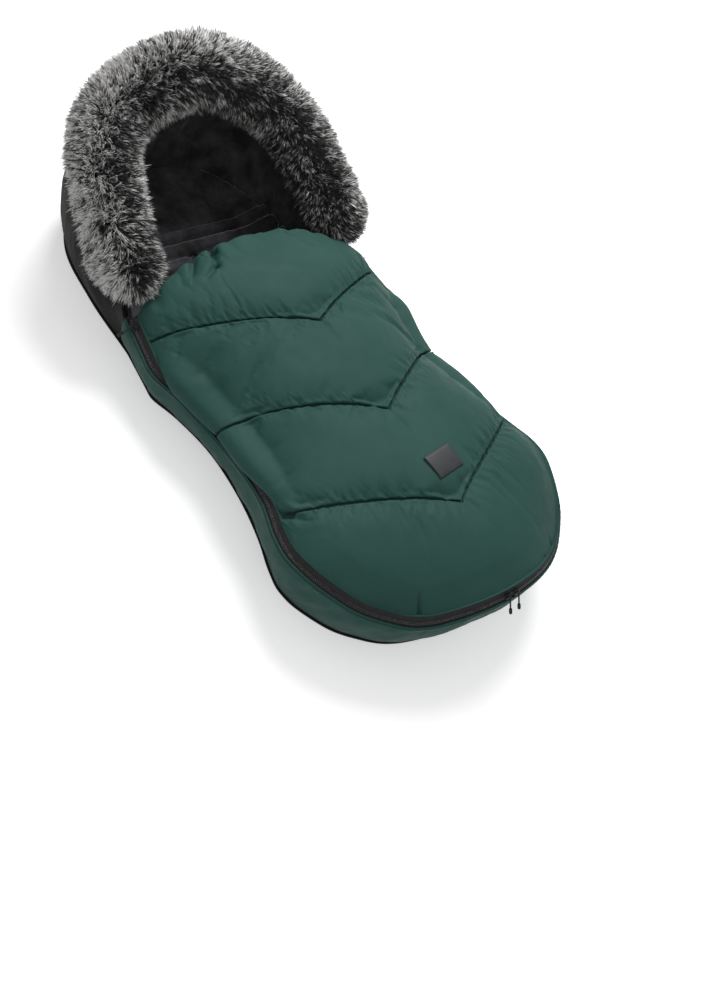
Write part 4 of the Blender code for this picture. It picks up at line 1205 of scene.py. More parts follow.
def cloth_shift(places, columns):
    """How far simulated cloth moves from its start, read at the quilt's own points."""
    coarse_places = np.linspace(0, 4, 4 * (CLOTH_ROWS - 1) + 1)
    coarse_columns = np.linspace(-1, 1, CLOTH_COLUMNS)
    middle, swell = apron_middle(coarse_places, coarse_columns)
    start = middle + grid_normals(middle) * (swell * BAFFLE_RISE * CLOTH_START_SHARE)[..., None]
    pins = np.zeros(swell.shape)
    pins[:: CLOTH_ROWS - 1] = 1
    pins[:, (0, -1)] = 1
    spacing = np.linalg.norm(start[-1, 1:] - start[-1, :-1], axis=1).cumsum()
    rng = np.random.default_rng(PIN_SEED)
    stops = np.cumsum(PIN_SPACING * (0.5 + rng.random(PIN_TRIES)))
    pins[-1] = 0
    pins[-1, np.searchsorted(spacing, stops[stops < spacing[-1]])] = 1
    pins[-1, (0, 1, -2, -1)] = 1
    moved = puffed(start, pins) - start
    size = np.linalg.norm(moved, axis=-1, keepdims=True) + 1e-9
    moved *= np.tanh(size / CLOTH_CAP) * CLOTH_CAP / size
    rows = places / 4 * (len(coarse_places) - 1)
    across = (columns + 1) / 2 * (CLOTH_COLUMNS - 1)
    return cubic(cubic(moved, rows, 0), across, 1)


def puffed(start, pins):
    """Grid of cloth, sewn down at its pins and blown up by its filling, after a short simulation."""
    scene = bpy.context.scene
    draft = mesh_piece("cloth_draft", start, (grid_quads(*start.shape[:2]),), None)
    group = draft.vertex_groups.new(name="pins")
    group.add(np.flatnonzero(pins.ravel() > 0.5).tolist(), 1.0, "REPLACE")
    cloth = draft.modifiers.new("cloth", "CLOTH")
    for name, value in CLOTH_SETTINGS.items():
        setattr(cloth.settings, name, value)
    cloth.settings.effector_weights.gravity = 0
    cloth.collision_settings.use_collision = False
    cloth.point_cache.frame_start = 1
    cloth.point_cache.frame_end = CLOTH_FRAMES
    for step in range(1, CLOTH_FRAMES + 1):
        scene.frame_set(step)
    shaped = draft.evaluated_get(bpy.context.evaluated_depsgraph_get()).to_mesh()
    points = np.empty(len(shaped.vertices) * 3)
    shaped.vertices.foreach_get("co", points)
    mesh = draft.data
    bpy.data.objects.remove(draft, do_unlink=True)
    bpy.data.meshes.remove(mesh)
    scene.frame_set(1)
    return points.reshape(start.shape)


def rolled_hem(outer, inner):
    """Both surfaces carried on round the top hem until they meet."""
    over = outer[-1]
    under = inner[-1]
    across = unit(np.gradient(over, axis=0))
    ahead = unit(np.cross(over - under, across))
    middle = (over + under) / 2
    half = (over - under) / 2
    top = []
    bottom = []
    for step in range(1, HEM_STEPS + 1):
        angle = math.pi / 2 * step / HEM_STEPS
        reach = ahead * math.sin(angle) * HEM_RADIUS
        top.append(middle + half * math.cos(angle) + reach)
        bottom.append(middle - half * math.cos(angle) + reach - half * 0.02)
    return np.concatenate((outer, top)), np.concatenate((inner, bottom))


def build_apron(nylon, plush, thread):
    """Quilted apron in one piece, whose flap folds at its second seam on the bag, and the plush under it; the
    piece is built as it lies.
    """
    outer, inner = apron_surfaces()
    quilt = slab("apron_quilt", *rolled_hem(outer, inner), nylon)
    baffles = ["apron_" + name + "_baffle" for name in ("foot", "lower", "middle", "top")]
    dress(quilt, "green_nylon", "apron_flap", *baffles, "apron_hem", "hem_elastic", fill=0.6)
    thin = inner[::3, ::4]
    down = -grid_normals(thin)
    near = thin + down * SOFT_GAP
    lining = slab("apron_plush", near, thin + down * (SOFT_GAP + LINING_THICKNESS), plush)
    lining_sheet(thin[len(thin) // 4:])
    dress(lining, "plush_lining", "apron_flap", "apron_lower_lining", "apron_upper_lining")
    build_stitches(outer, thread)
    return outer


def lining_sheet(straight_rows):
    """Width of the cloth that a lining, sewn flat over its carrier, takes across its straight rows."""
    width = float(lengths_along(straight_rows.swapaxes(0, 1))[-1].max())


def build_stitches(outer, look):
    """Machine stitches along the bottom of each seam's groove."""
    groups = []
    for row in SEAM_ROWS:
        line = outer[row, 3:-3]
        up = grid_normals(outer[row - 1:row + 2])[1, 3:-3]
        length = lengths_along(line)
        middle = np.arange(STITCH_PITCH, length[-1], STITCH_PITCH)
        ends = [read_line(middle + shift, length, line) for shift in (-STITCH_LENGTH / 2, STITCH_LENGTH / 2)]
        above = unit(read_line(middle, length, up))
        side = np.cross(unit(ends[1] - ends[0]), above) * STITCH_WIDTH / 2
        corners = []
        for rise in (0, STITCH_WIDTH):
            for end, way in ((0, 1), (1, 1), (1, -1), (0, -1)):
                corners.append(ends[end] + side * way + above * rise)
        groups.append(np.stack(corners, 1).reshape(-1, 3))
    points = np.concatenate(groups)
    faces = block_faces(len(points) // 8, turned=True)
    stitches = mesh_piece("seam_stitches", points, (faces,), look, points[:, :2])
    dress(stitches, "green_nylon", "apron_flap")


# Zip

def block_faces(count, turned):
    """Faces of small blocks of eight points each, turned inside out if asked."""
    faces = np.array(((0, 3, 2, 1), (4, 5, 6, 7), (0, 1, 5, 4), (1, 2, 6, 5), (2, 3, 7, 6), (3, 0, 4, 7)))
    if turned:
        faces = faces[:, ::-1]
    return ((np.arange(count) * 8)[:, None, None] + faces[None]).reshape(-1, 4)


def teeth(first, last, side, shift):
    """Points and faces of a row of teeth on one side of the zip."""
    count = int((last - first) * ZIP.length / TOOTH_PITCH)
    shares = first + (np.arange(count) + 0.5 + shift) / count * (last - first)
    shares = shares[shares < last]
    half = TOOTH_LENGTH / 2 / ZIP.length
    corners = []
    for off, narrow in ((TAPE_OVER - GAP, 1.0), (TEETH_RISE, TOOTH_TOP_SHARE)):
        for step, out in ((-1, 0), (1, 0), (1, 1), (-1, 1)):
            reach = side * (TEETH_GAP + out * (TEETH_REACH - TEETH_GAP) * narrow)
            corners.append(off_zip(shares + step * half * narrow, reach, off))
    return np.stack(corners, 1).reshape(-1, 3), block_faces(len(shares), turned=side > 0)


def tape(name, first, last, side, look):
    """Flat tape beside the teeth."""
    width = BASE_TAPE if side > 0 else APRON_TAPE
    shares = np.linspace(first, last, ZIP_POINTS)
    reach = np.linspace(TEETH_GAP, width, TAPE_POINTS) * side
    over, under = [off_zip(shares[:, None], reach[None], off)[:, ::-side] for off in (TAPE_OVER, -TAPE_UNDER)]
    return slab(name, over, under, look)


def build_zip(look, tooth_look):
    """Tapes and teeth of both halves of the zip."""
    stop = (STOP_LENGTH + GAP) / ZIP.length
    for name, side, body, halves in (
        ("zip_base", 1, "root", ("base",)),
        ("zip_apron", -1, "apron_flap", ("apron_lower", "apron_left", "apron_right")),
    ):
        band = tape(name + "_tape", stop, 1 - stop, side, look)
        points, faces = teeth(stop, 1 - stop, side, TOOTH_SHIFT_SHARE * side)
        row = mesh_piece(name + "_teeth", points, (faces,), tooth_look, smooth_shading=False)
        dress(band, "zip_tape", body, *["zip_half_" + half for half in halves])
        dress(row, "zip_tape", body)


# Patch

def build_patch(look, outer):
    """Bare patch sewn on the lower baffle, with a raised border and a stitched line."""
    flat = np.linspace(-0.5, 0.5, PATCH_POINTS)
    x, y = np.meshgrid(flat * PATCH_WIDTH, flat * PATCH_LENGTH)
    place_x = PATCH_X + x * math.cos(PATCH_TURN) - y * math.sin(PATCH_TURN)
    place_y = PATCH_Y_SHARE * LENGTH + x * math.sin(PATCH_TURN) + y * math.cos(PATCH_TURN)
    cloth = outer.reshape(-1, 3)
    near = np.abs(cloth[:, :2] - (PATCH_X, PATCH_Y_SHARE * LENGTH)).max(axis=1) < PATCH_WIDTH * 0.6
    terms = curve_terms(cloth[near, 0], cloth[near, 1])
    shape = np.linalg.lstsq(terms, cloth[near, 2], rcond=None)[0]
    clear = np.quantile(cloth[near, 2] - terms @ shape, 0.98)
    height = curve_terms(place_x.ravel(), place_y.ravel()) @ shape + clear
    seat = np.stack((place_x, place_y, height.reshape(x.shape)), -1)
    normals = grid_normals(seat)
    to_edge = np.minimum(PATCH_WIDTH / 2 - np.abs(x), PATCH_LENGTH / 2 - np.abs(y))
    round_edge = -PATCH_THICKNESS * 0.5 * (1 - ease(to_edge / PATCH_ROUND))
    groove = -PATCH_STITCH_DEPTH * np.exp(-((to_edge - PATCH_BORDER) / PATCH_STITCH_WIDTH) ** 2)
    rise = SOFT_GAP + PATCH_THICKNESS + round_edge + groove
    patch = slab("label_patch_bare", seat + normals * rise[..., None], seat - normals * PATCH_SEAT, look)
    dress(patch, "patch", "root", "label_patch")


def curve_terms(x, y):
    """Terms of a gently curved surface at places."""
    return np.stack((np.ones_like(x), x, y, x * x, x * y, y * y), -1)


# Gusset

def level_out(share):
    return unit(np.cross(ZIP.tangent(share), UP))


def gusset_foot(share, inset=0.0):
    """Outer foot of the gusset under stations of the zip, on a level of its own."""
    point = ZIP.at(share) - level_out(share) * (FLARE + inset)
    point[..., 2] = PANEL_TOP
    return point


def gusset_grid(depth, low, count):
    """Grid up the gusset at a depth inside its outer face, from a height up to the tape."""
    shares = np.linspace(0, 1, ZIP_POINTS)
    foot = gusset_foot(shares)
    top = off_zip(shares, WALL_EDGE, WALL_TOP)
    level = level_out(shares)
    rows = []
    for step in np.linspace(0, 1, count):
        z = low + (top[:, 2] - low) * step
        part = (z - PANEL_TOP) / (top[:, 2] - PANEL_TOP)
        place = blend_points(foot, top, part)
        taper = 1 - ease((part - WALL_TAPER_START_SHARE) / (1 - WALL_TAPER_START_SHARE))
        inward = depth * (taper if depth > 0 else 1)
        place = place + level * (WALL_BULGE * 4 * part * (1 - part) - inward)[:, None]
        place[:, 2] = z
        rows.append(place)
    if depth > 0:
        rows[-1] = off_zip(shares, WALL_EDGE, -WALL_TOP) - level * max(depth - WALL_THICKNESS, 0)
    return np.stack(rows), level


def build_gusset(nylon, plush):
    """Side wall from the back up to the zip, slightly rumpled, with its piping and its plush."""
    outer, level = gusset_grid(0.0, PANEL_TOP, WALL_POINTS)
    inner, _ = gusset_grid(WALL_THICKNESS, PANEL_TOP, WALL_POINTS)
    rise = np.linspace(0, 1, WALL_POINTS)[:, None]
    rumple = waves(grid_uv(outer), RUMPLE_LENGTH, 12.0, 3, stretch=RUMPLE_STRETCH_SHARE) * RUMPLE_DEPTH
    rumple = rumple * faded(rise, RUMPLE_FADE_SHARE, RUMPLE_FADE_SHARE)
    wall = slab("gusset_wall", outer + level[None] * rumple[..., None], inner, nylon)
    dress(wall, "green_nylon", "root", "gusset_left", "gusset_foot", "gusset_right", fill=0.4)
    shares = np.linspace(0, 1, ZIP_POINTS)
    line = off_zip(shares, BASE_TAPE - PIPING_SEAT, PIPING_SEAT)
    wobble = 1 + PIPING_WOBBLE_SHARE * np.sin(shares * PIPING_WOBBLE_RATE)
    piping = swept("gusset_piping", round_rod(line, PIPING_RADIUS * wobble, PIPING_SIDES), nylon)
    dress(piping, "green_nylon", "root")
    near, _ = gusset_grid(WALL_THICKNESS + SOFT_GAP, LINING_TOP + GAP, WALL_POINTS)
    far, _ = gusset_grid(WALL_THICKNESS + SOFT_GAP + LINING_THICKNESS, LINING_TOP + GAP, WALL_POINTS)
    lining = slab("gusset_plush", near, far, plush)
    lining_sheet(near)
    dress(lining, "plush_lining", "root", "gusset_lining")


# Back

def back_edge(inset):
    """Half outline of the back, from the middle of the foot up the right side to the middle of the head."""
    side = gusset_foot(np.linspace(0.5, 1, 200), inset)[:, :2]
    shares = np.linspace(0, 0.5, 160)[4:]
    level = unit(np.cross(HEAD.tangent(shares), UP))
    half = np.concatenate((side, (HEAD.at(shares) - level * inset)[:, :2]))
    half[:, 0] = np.maximum(half[:, 0], 0)
    half[:, 1] = np.maximum.accumulate(half[:, 1] + np.arange(len(half)) * OUTLINE_STEP)
    return half


def back_grid(inset, rows, columns):
    """Places of a grid over the back, with its rows straight across, and their distances from its side."""
    half = back_edge(inset)
    length = lengths_along(half)
    goal = np.linspace(0, length[-1], rows)
    x = np.interp(goal, length, half[:, 0])[:, None] + OUTLINE_WIDTH
    y = np.interp(goal, length, half[:, 1])[:, None]
    across = mirrored_pack(columns, 0.4)[None]
    return x * across, np.broadcast_to(y, (rows, columns)), x * (1 - np.abs(across))


def to_slot(x, y):
    """Distance outside the round-ended outline of the nearest slot."""
    found = []
    for _, length, middle in SLOTS:
        over = np.maximum(np.abs(y - middle) - (length - SLOT_WIDTH) / 2, 0)
        found.append(np.hypot(x, over) - SLOT_WIDTH / 2)
    return np.min(found, axis=0)


def plush_height(x, y, to_edge):
    """Top of the padded plush: soft cushions, with sewn rolls across the neck."""
    lines = [share * LENGTH for share in CHANNEL_Y_SHARES]
    pitch = lines[1] - lines[0]
    rolls = np.abs(np.sin(np.pi * (y - lines[0]) / pitch)) ** 0.5
    side = ROLL_SIDE_SHARE * pitch
    blend = ROLL_SIDE_BLEND_SHARE * pitch
    inside = ease((y - lines[0] + side) / blend) * ease((lines[2] + side - y) / blend)
    near = np.min([np.abs(y - line) for line in lines], axis=0)
    height = LINING_TOP + ROLL_RISE * rolls * inside - CHANNEL_DEPTH * np.exp(-(near / CHANNEL_WIDTH) ** 2)
    height -= SLOT_DRAW_DEPTH * np.exp(-np.maximum(to_slot(x, y), 0) / SLOT_DRAW) * inside
    lip = ease((to_edge - LIP_START) / LIP_RISE) * (1 - ease((to_edge - LIP_TOP) / LIP_FALL))
    height += LIP_HEIGHT * lip * ease((y - LIP_Y) / LIP_BLEND)
    return LINING_TOP + (height - LINING_TOP) * ease(to_edge / PLUSH_ROUND)


def back_slab(name, x, y, top, bottom, look):
    """Piece over the back between two heights, open at the slots."""
    over, under = [np.stack((x, y, np.broadcast_to(height, x.shape)), -1) for height in (top, bottom)]
    slot = to_slot(x, y)
    mean = (slot[1:, 1:] + slot[1:, :-1] + slot[:-1, 1:] + slot[:-1, :-1]) / 4
    return slab(name, over, under, look, mean > 0)


def build_back(cloth, plush, tape_cloth):
    """Padded plush of the back, its outer panel and the bindings of both harness slots."""
    x, y, to_edge = back_grid(WALL_THICKNESS + LAYER_CLEAR, BACK_ROWS, BACK_COLUMNS)
    spot = np.stack((x, y), -1)
    brushed = waves(spot, PLUSH_WAVE_LENGTH, 41.0, 3) * PLUSH_WAVE_DEPTH
    brushed = brushed + waves(spot, TUFT_LENGTH, 43.0, stretch=0.4) * TUFT_DEPTH
    calm = ease(to_edge / PLUSH_CALM) * ease(to_slot(x, y) / SLOT_CALM)
    height = plush_height(x, y, to_edge) + brushed * calm
    cushion = back_slab("back_cushion", x, y, height, PANEL_TOP, plush)
    dress(cushion, "plush_lining", "root", "back_padding", "back_lining", fill=0.8)
    build_panel(cloth)
    for name, length, middle in SLOTS:
        build_binding(name, length, middle, tape_cloth)


def build_panel(cloth):
    """Flat outer panel with a stitched line inside its edge and round each slot."""
    x, y, to_edge = back_grid(-PANEL_MARGIN, BACK_ROWS // 2, BACK_COLUMNS)
    stitch = np.exp(-((to_edge - PANEL_STITCH_INSET) / PANEL_STITCH_WIDTH) ** 2)
    stitch += np.exp(-((to_slot(x, y) - SLOT_STITCH_INSET) / SLOT_STITCH_WIDTH) ** 2)
    soft = (waves(np.stack((x, y), -1), PANEL_WAVE_LENGTH, 51.0) + 1) * PANEL_WAVE_DEPTH
    under = np.clip(stitch * PANEL_STITCH_DEPTH + soft, 0, PANEL_STITCH_LIMIT)
    panel = back_slab("back_shell", x, y, PANEL_THICKNESS, under, cloth)
    dress(panel, "black_cloth", "root", "back_panel", fill=0.5)


def build_binding(name, length, middle, look):
    """Bound edge of a slot, with a gathered flange over the plush."""
    turn = around(SLOT_POINTS)
    x = np.cos(turn)
    y = np.sin(turn)
    stretch = np.sign(y) * (length - SLOT_WIDTH) / 2 * ease(np.abs(y) / BINDING_BEND_SHARE)
    gather = BINDING_GATHER * np.sin(turn * BINDING_GATHER_RATE)
    rings = []
    for radius, lift in BINDING_RINGS:
        place_x = x * radius
        place_y = middle + stretch + y * radius
        z = np.full_like(place_x, GAP)
        if lift is not None:
            z = plush_height(place_x, place_y, np.full_like(place_x, LENGTH)) + lift
        if lift == BINDING_RISE:
            z = z + gather
        rings.append(np.stack((place_x, place_y, z), -1))
    binding = swept(name + "_bound_edge", np.stack(rings, 1), look, closed=True)
    dress(binding, "binding_tape", "root", name + "_binding")


# Sliders

def slider_place(share):
    """Place and frame of a slider: X back along the zip, Y out across the tape, Z off it."""
    point, along, out, off = zip_frame(share)
    turn = np.stack((-along, out, off), -1)
    return point, turn


def placed(rings, place):
    point, turn = place
    return np.asarray(rings) @ turn.T + point


def rounded_plate(low, high):
    """Rings of a slider's plate between two heights, with soft edges and one end narrower."""
    turn = around(PLATE_POINTS)
    x = np.sign(np.cos(turn)) * np.abs(np.cos(turn)) ** PLATE_ROUND_SHARE
    y = np.sign(np.sin(turn)) * np.abs(np.sin(turn)) ** PLATE_ROUND_SHARE
    rings = []
    for rise, size in PLATE_RING_SHARES:
        width = SLIDER_HALF_WIDTH * (1 - PLATE_NARROW_SHARE * (x + 1) / 2) * size
        z = np.full_like(x, low + (high - low) * rise)
        rings.append(np.stack((x * SLIDER_LENGTH / 2 * size, y * width, z), -1))
    return rings


def round_rod(points, radii, sides=12):
    """Rings of a rod through points, with a radius at each."""
    points = np.asarray(points, dtype=float)
    run = unit(np.gradient(points, axis=0))
    side = unit(np.cross(run, np.array((1.0, 0.3, 0.2))))
    other = np.cross(run, side)
    turn = around(sides)[None, :, None]
    ring = side[:, None] * np.cos(turn) + other[:, None] * np.sin(turn)
    return points[:, None] + ring * np.asarray(radii)[:, None, None]


def slider_pieces(place, look, name):
    """Body of a slider: its two plates and the bail."""
    turn = np.linspace(0, np.pi, BAIL_POINTS)
    reach = BAIL_SPAN / 2 - BAIL_THICKNESS / 2
    bow = np.sign(np.cos(turn)) * np.abs(np.cos(turn)) ** BAIL_ROUND_SHARE
    low = BAIL_BASE - BAIL_SINK
    bail = np.stack((bow * reach, 0 * turn, low + (BAIL_AXIS - low) * np.sin(turn) ** BAIL_ROUND_SHARE), -1)
    parts = (
        ("zip_top_", rounded_plate(SLIDER_HIGH, BAIL_BASE)),
        ("zip_under_", rounded_plate(SLIDER_LOW - SLIDER_PLATE, SLIDER_LOW)),
        ("zip_bail_", round_rod(bail, np.full(len(bail), BAIL_THICKNESS / 2))),
    )
    return [swept(part + name, placed(rings, place), look) for part, rings in parts]


def pull_pieces(place, look, name):
    """Pull that hangs on the bail: an eye, a slim stem and a ridged knob."""
    point, turn = place
    at_bar = (point + turn[:, 2] * BAIL_AXIS, turn)
    angle = around(EYE_POINTS)
    eye = np.stack((0 * angle, EYE_RADIUS * np.cos(angle), EYE_RADIUS * np.sin(angle)), -1)
    ring_turn = around(EYE_SIDES)[None, :, None]
    out = unit(eye)[:, None]
    rings = eye[:, None] + (out * np.cos(ring_turn) + np.array((1.0, 0, 0)) * np.sin(ring_turn)) * EYE_TUBE
    reach = np.linspace(EYE_RADIUS, PULL_LENGTH - EYE_TUBE, STEM_POINTS)
    part = (reach - reach[0]) / (reach[-1] - reach[0])
    knob_end = ease((part - KNOB_END_SHARE) / KNOB_END_BLEND_SHARE) * KNOB_END_DROP_SHARE
    knob = ease((part - KNOB_START_SHARE) / KNOB_START_BLEND_SHARE) * (1 - knob_end)
    ridged = (part > RIDGES_START_SHARE) * (part < RIDGES_END_SHARE)
    ridges = KNOB_RIDGE * np.sin(part * KNOB_RIDGE_RATE) * ridged
    radii = PULL_RADIUS + PULL_RADIUS * knob + ridges
    radii[0] = radii[-1] = PULL_TIP_RADIUS
    stem = np.stack((0 * reach, reach, 0 * reach), -1)
    return [
        swept("zip_eye_" + name, placed(rings, at_bar), look, closed=True),
        swept("zip_tab_" + name, placed(round_rod(stem, radii), at_bar), look),
    ]


def build_sliders(look):
    """Four sliders and their pulls."""
    spread_share = SLIDER_SPACING / 2 / ZIP.length
    top_share = table_place(ZIP_SIDE, TOP_SLIDER_Y)[0]
    for name, share in (
        ("foot_left", 0.5 - spread_share),
        ("foot_right", 0.5 + spread_share),
        ("top_left", 1 - top_share),
        ("top_right", top_share),
    ):
        place = slider_place(share)
        for pieces, body, node in (
            (slider_pieces(place, look, name), "slider_", "zip_slider_"),
            (pull_pieces(place, look, name), "pull_", "zip_pull_"),
        ):
            dress(pieces[0], "zip_metal", body + name, node + name)
            for piece in pieces[1:]:
                dress(piece, "zip_metal", body + name)


# Hood

def head_line():
    """Outer foot of the hood, from the right of the neck round the head end to the left."""
    neck = gusset_foot(np.array(1.0)) + (0, NECK_GAP, 0)
    side = [np.array((x * HALF_WIDTH, y * LENGTH, PANEL_TOP)) for x, y in HEAD_SIDE_SHARES]
    return closed_over([neck] + side)


def rim_line():
    """Top edge of the hood, over the same stations as its foot."""
    neck = off_zip(np.array(1.0), WALL_EDGE, WALL_TOP) + (0, NECK_GAP, 0)
    return closed_over([neck] + [sized(shares, HOOD_HEIGHT) for shares in RIM_SIDE_SHARES])


def closed_over(half):
    """Whole line from a right half that ends on the middle line."""
    return Path(half + [point * MIRROR for point in reversed(half[:-1])])


HEAD = head_line()
RIM = rim_line()


def fur_frame(share):
    """Middle of the fur roll over the rim, the way it runs, its width and its face."""
    share = np.asarray(share, dtype=float)
    rim = RIM.at(share)
    middle = 1 - np.abs(2 * share - 1)
    tilt = FUR_SIDE_TILT + (FUR_TOP_TILT - FUR_SIDE_TILT) * ease(middle)
    face = np.stack((np.zeros_like(tilt), -np.sin(tilt), np.cos(tilt)), -1)
    along = RIM.tangent(share)
    face = unit(face - along * dot(face, along))
    return rim, along, np.cross(along, face), face


def hood_grid(depth, low):
    """Grid up the hood at a depth inside its outer face, from a height up to the rim under the fur."""
    share = np.linspace(0, 1, HOOD_POINTS)
    foot = HEAD.at(share)
    rim, _, _, face = fur_frame(share)
    neck = np.where(share[:, None] < 0.5, level_out(np.array(1.0)), level_out(np.array(0.0)))
    past_neck = ease(np.minimum(share, 1 - share) / NECK_SPAN_SHARE)
    level = blend_points(neck, unit(np.cross(HEAD.tangent(share), UP)), past_neck)
    flat = RIM.tangent(share) * np.array((1, 1, 0))
    rim_level = blend_points(neck, unit(np.cross(flat, UP)), past_neck)
    top = rim[:, 2] - SOFT_GAP + np.minimum(depth * dot(rim_level, face)[:, 0] / face[:, 2], 0)
    grid = []
    outs = []
    for step in np.linspace(0, 1, HOOD_ROWS):
        z = low + (top - low) * step
        part = (z - PANEL_TOP) / (rim[:, 2] - PANEL_TOP)
        place = blend_points(foot, rim, ease(part))
        out = unit(blend_points(level, rim_level, part))
        bulge = HOOD_BULGE * np.sin(np.pi * part) * past_neck
        place = place + out * (bulge - depth)[:, None]
        place[:, 2] = z
        grid.append(place)
        outs.append(out)
    return np.stack(grid), np.stack(outs), past_neck


def build_hood(cloth, plush):
    """Hood with soft folds, and its gathered plush."""
    outer, out, fade = hood_grid(0.0, PANEL_TOP)
    inner, _, _ = hood_grid(HOOD_THICKNESS, PANEL_TOP)
    place = grid_uv(outer)
    rise = np.linspace(0, 1, HOOD_ROWS)[:, None]
    folds = waves(place, FOLD_LENGTH, 21.0, 3, stretch=0.3) * FOLD_DEPTH
    folds = folds * (faded(rise, 0.1, 0.1) * fade[None])
    crown = np.exp(-(place[..., 0] / CROWN_SEAM_WIDTH) ** 2) * ease((1 - rise) / 0.1)
    folds = folds - CROWN_SEAM_DEPTH * crown
    shell = slab("hood_cover", outer + out * folds[..., None], inner, cloth)
    dress(shell, "black_cloth", "hood_rim", "hood_shell", fill=0.4)
    near, out, fade = hood_grid(HOOD_THICKNESS + SOFT_GAP, LINING_TOP + GAP)
    far, _, _ = hood_grid(HOOD_THICKNESS + SOFT_GAP + HOOD_LINING_THICKNESS, LINING_TOP + GAP)
    gathers = waves(grid_uv(near), HOOD_GATHER_LENGTH, 31.0, 3, stretch=0.35) * 0.8 + 0.95
    gathers = gathers * HOOD_GATHER_DEPTH * faded(rise, 0.06, 0.2) * fade[None]
    lining = slab("hood_plush", near, far - out * gathers[..., None], plush)
    dress(lining, "plush_lining", "hood_rim", "hood_lining", fill=0.3)


# Fur

def fur_roll(share, angle, skin):
    """Points on the fur's roll at a depth inside its outer tips, and the ways the strands stand."""
    first = FUR_START / RIM.length
    part = first + (1 - 2 * first) * share
    from_end = np.minimum(share, 1 - share) * (1 - 2 * first) * RIM.length
    end = np.clip(1 - from_end / FUR_ROUND, 0, 1)
    swell = np.sqrt(1 - end ** 2)
    rim, along, wide, face = fur_frame(part)
    centre = rim + face * (FUR_HALF_DEPTH + SOFT_GAP)
    cosine = np.cos(angle)[..., None]
    sine = np.sin(angle)[..., None]
    ring = wide * cosine * (FUR_HALF_WIDTH - skin) + face * sine * (FUR_HALF_DEPTH - skin)
    stand = unit(wide * cosine / FUR_HALF_WIDTH + face * sine / FUR_HALF_DEPTH)
    towards_end = np.sign(share - 0.5)[..., None] * along * (end ** 2)[..., None]
    stand = unit(stand * swell[..., None] + towards_end)
    return centre + ring * swell[..., None], stand, along, wide


def build_fur(look, under_look):
    """Dark under-roll and the strands that stand on it, in pieces along the arch."""
    shares = np.linspace(*FUR_ROLL_END_SHARES, FUR_ROLL_POINTS)
    share, angle = np.meshgrid(shares, around(FUR_ROLL_SIDES), indexing="ij")
    points, faces = tube_mesh(fur_roll(share, angle, FUR_SKIN)[0])
    under = mesh_piece("fur_backing", points, faces, under_look)
    dress(under, "fur", "hood_rim", "fur_trim", fill=0.7)
    for index in range(FUR_PIECES):
        dress(fur_piece(index, look), "fur", "hood_rim")


def fur_piece(index, look):
    """Strands on one stretch of the roll, drawn together in clumps and swept out from the rim."""
    rng = np.random.default_rng(FUR_SEED + index)
    share = index / FUR_PIECES + rng.random(FUR_STRANDS) / FUR_PIECES
    angle = rng.random(FUR_STRANDS) * 2 * np.pi
    root, stand, along, wide = fur_roll(share, angle, FUR_SKIN)
    spot = root[:, :2] + root[:, 2:]
    swirl = np.stack([waves(spot, SWIRL_LENGTH, seed) for seed in (61.0, 67.0, 71.0)], -1)
    outward = np.cos(angle)[:, None]
    towards_end = (2 * share - 1)[:, None]
    comb = wide * outward * COMB_OUT_SHARE + along * towards_end * COMB_ALONG_SHARE
    comb = comb - UP * COMB_DOWN_SHARE + swirl * COMB_SWIRL_SHARE
    length = FUR_LENGTH * (SHORTEST_SHARE + LENGTH_SPREAD_SHARE * rng.random(FUR_STRANDS))[:, None]
    length *= 1 + LONG_EXTRA_SHARE * (rng.random(FUR_STRANDS)[:, None] > LONG_FROM_SHARE)
    jitter = rng.normal(0, JITTER_SHARE, (FUR_STRANDS, 3))
    tip = root + unit(stand + comb * COMB_SHARE + jitter) * length
    bend = root + unit(stand + jitter * BEND_JITTER_SHARE) * length * BEND_SHARE
    tip, bend, clump = gather_clumps(rng, root, bend, tip)
    pale_tips_and_painted_light = PALE_CHANCE_SHARE * rng.random(FUR_STRANDS) + PALE_CLUMP_SHARE * clump
    # Painted light: strands paler on their way outward, where their tips are seen side-on
    pale_tips_and_painted_light += OUTWARD_PAINTED_LIGHT_SHARE * (outward[:, 0] * 0.5 + 0.5)
    # Painted shade: darker over the crown and to the right of the bag; the patches are random tone
    crown = np.exp(-((angle - CROWN_ANGLE) / CROWN_ANGLE_SPREAD) ** 2)
    patchy = waves(spot, FUR_PATCH_LENGTH, 83.0)
    # Painted light: paler on the inner side of the roll at the left
    inner = ease((-INNER_START_SHARE - np.cos(angle)) / INNER_BLEND_SHARE) * (root[:, 0] < 0)
    to_right = ease(root[:, 0] / FUR_SHADE_SPAN + 0.5)
    offset_and_painted_shade = PALE_BASE_SHARE - RIGHT_PAINTED_SHADE_SHARE * to_right - CROWN_PAINTED_SHADE_SHARE * crown
    pale_tips_and_painted_light += offset_and_painted_shade + PALE_PATCH_SHARE * patchy + INNER_LEFT_PAINTED_LIGHT_SHARE * inner
    return strands_mesh("fur_strands_" + str(index + 1), rng, (root, bend, tip), look, pale_tips_and_painted_light)


def gather_clumps(rng, root, bend, tip):
    """Draw each strand's tip towards the tip of the nearest clump's first strand."""
    leaders = rng.choice(len(root), FUR_CLUMPS, replace=False)
    tree = point_tree(root[leaders])
    nearest = np.array([tree.find(point)[1] for point in root])
    leader = leaders[nearest]
    pull = (CLUMP_PULL_SHARE + CLUMP_PULL_SPREAD_SHARE * rng.random(len(root)))[:, None]
    tip = tip + (tip[leader] - tip) * pull
    bend = bend + (bend[leader] - bend) * pull * CLUMP_BEND_SHARE
    return tip, bend, rng.random(len(leaders))[nearest]


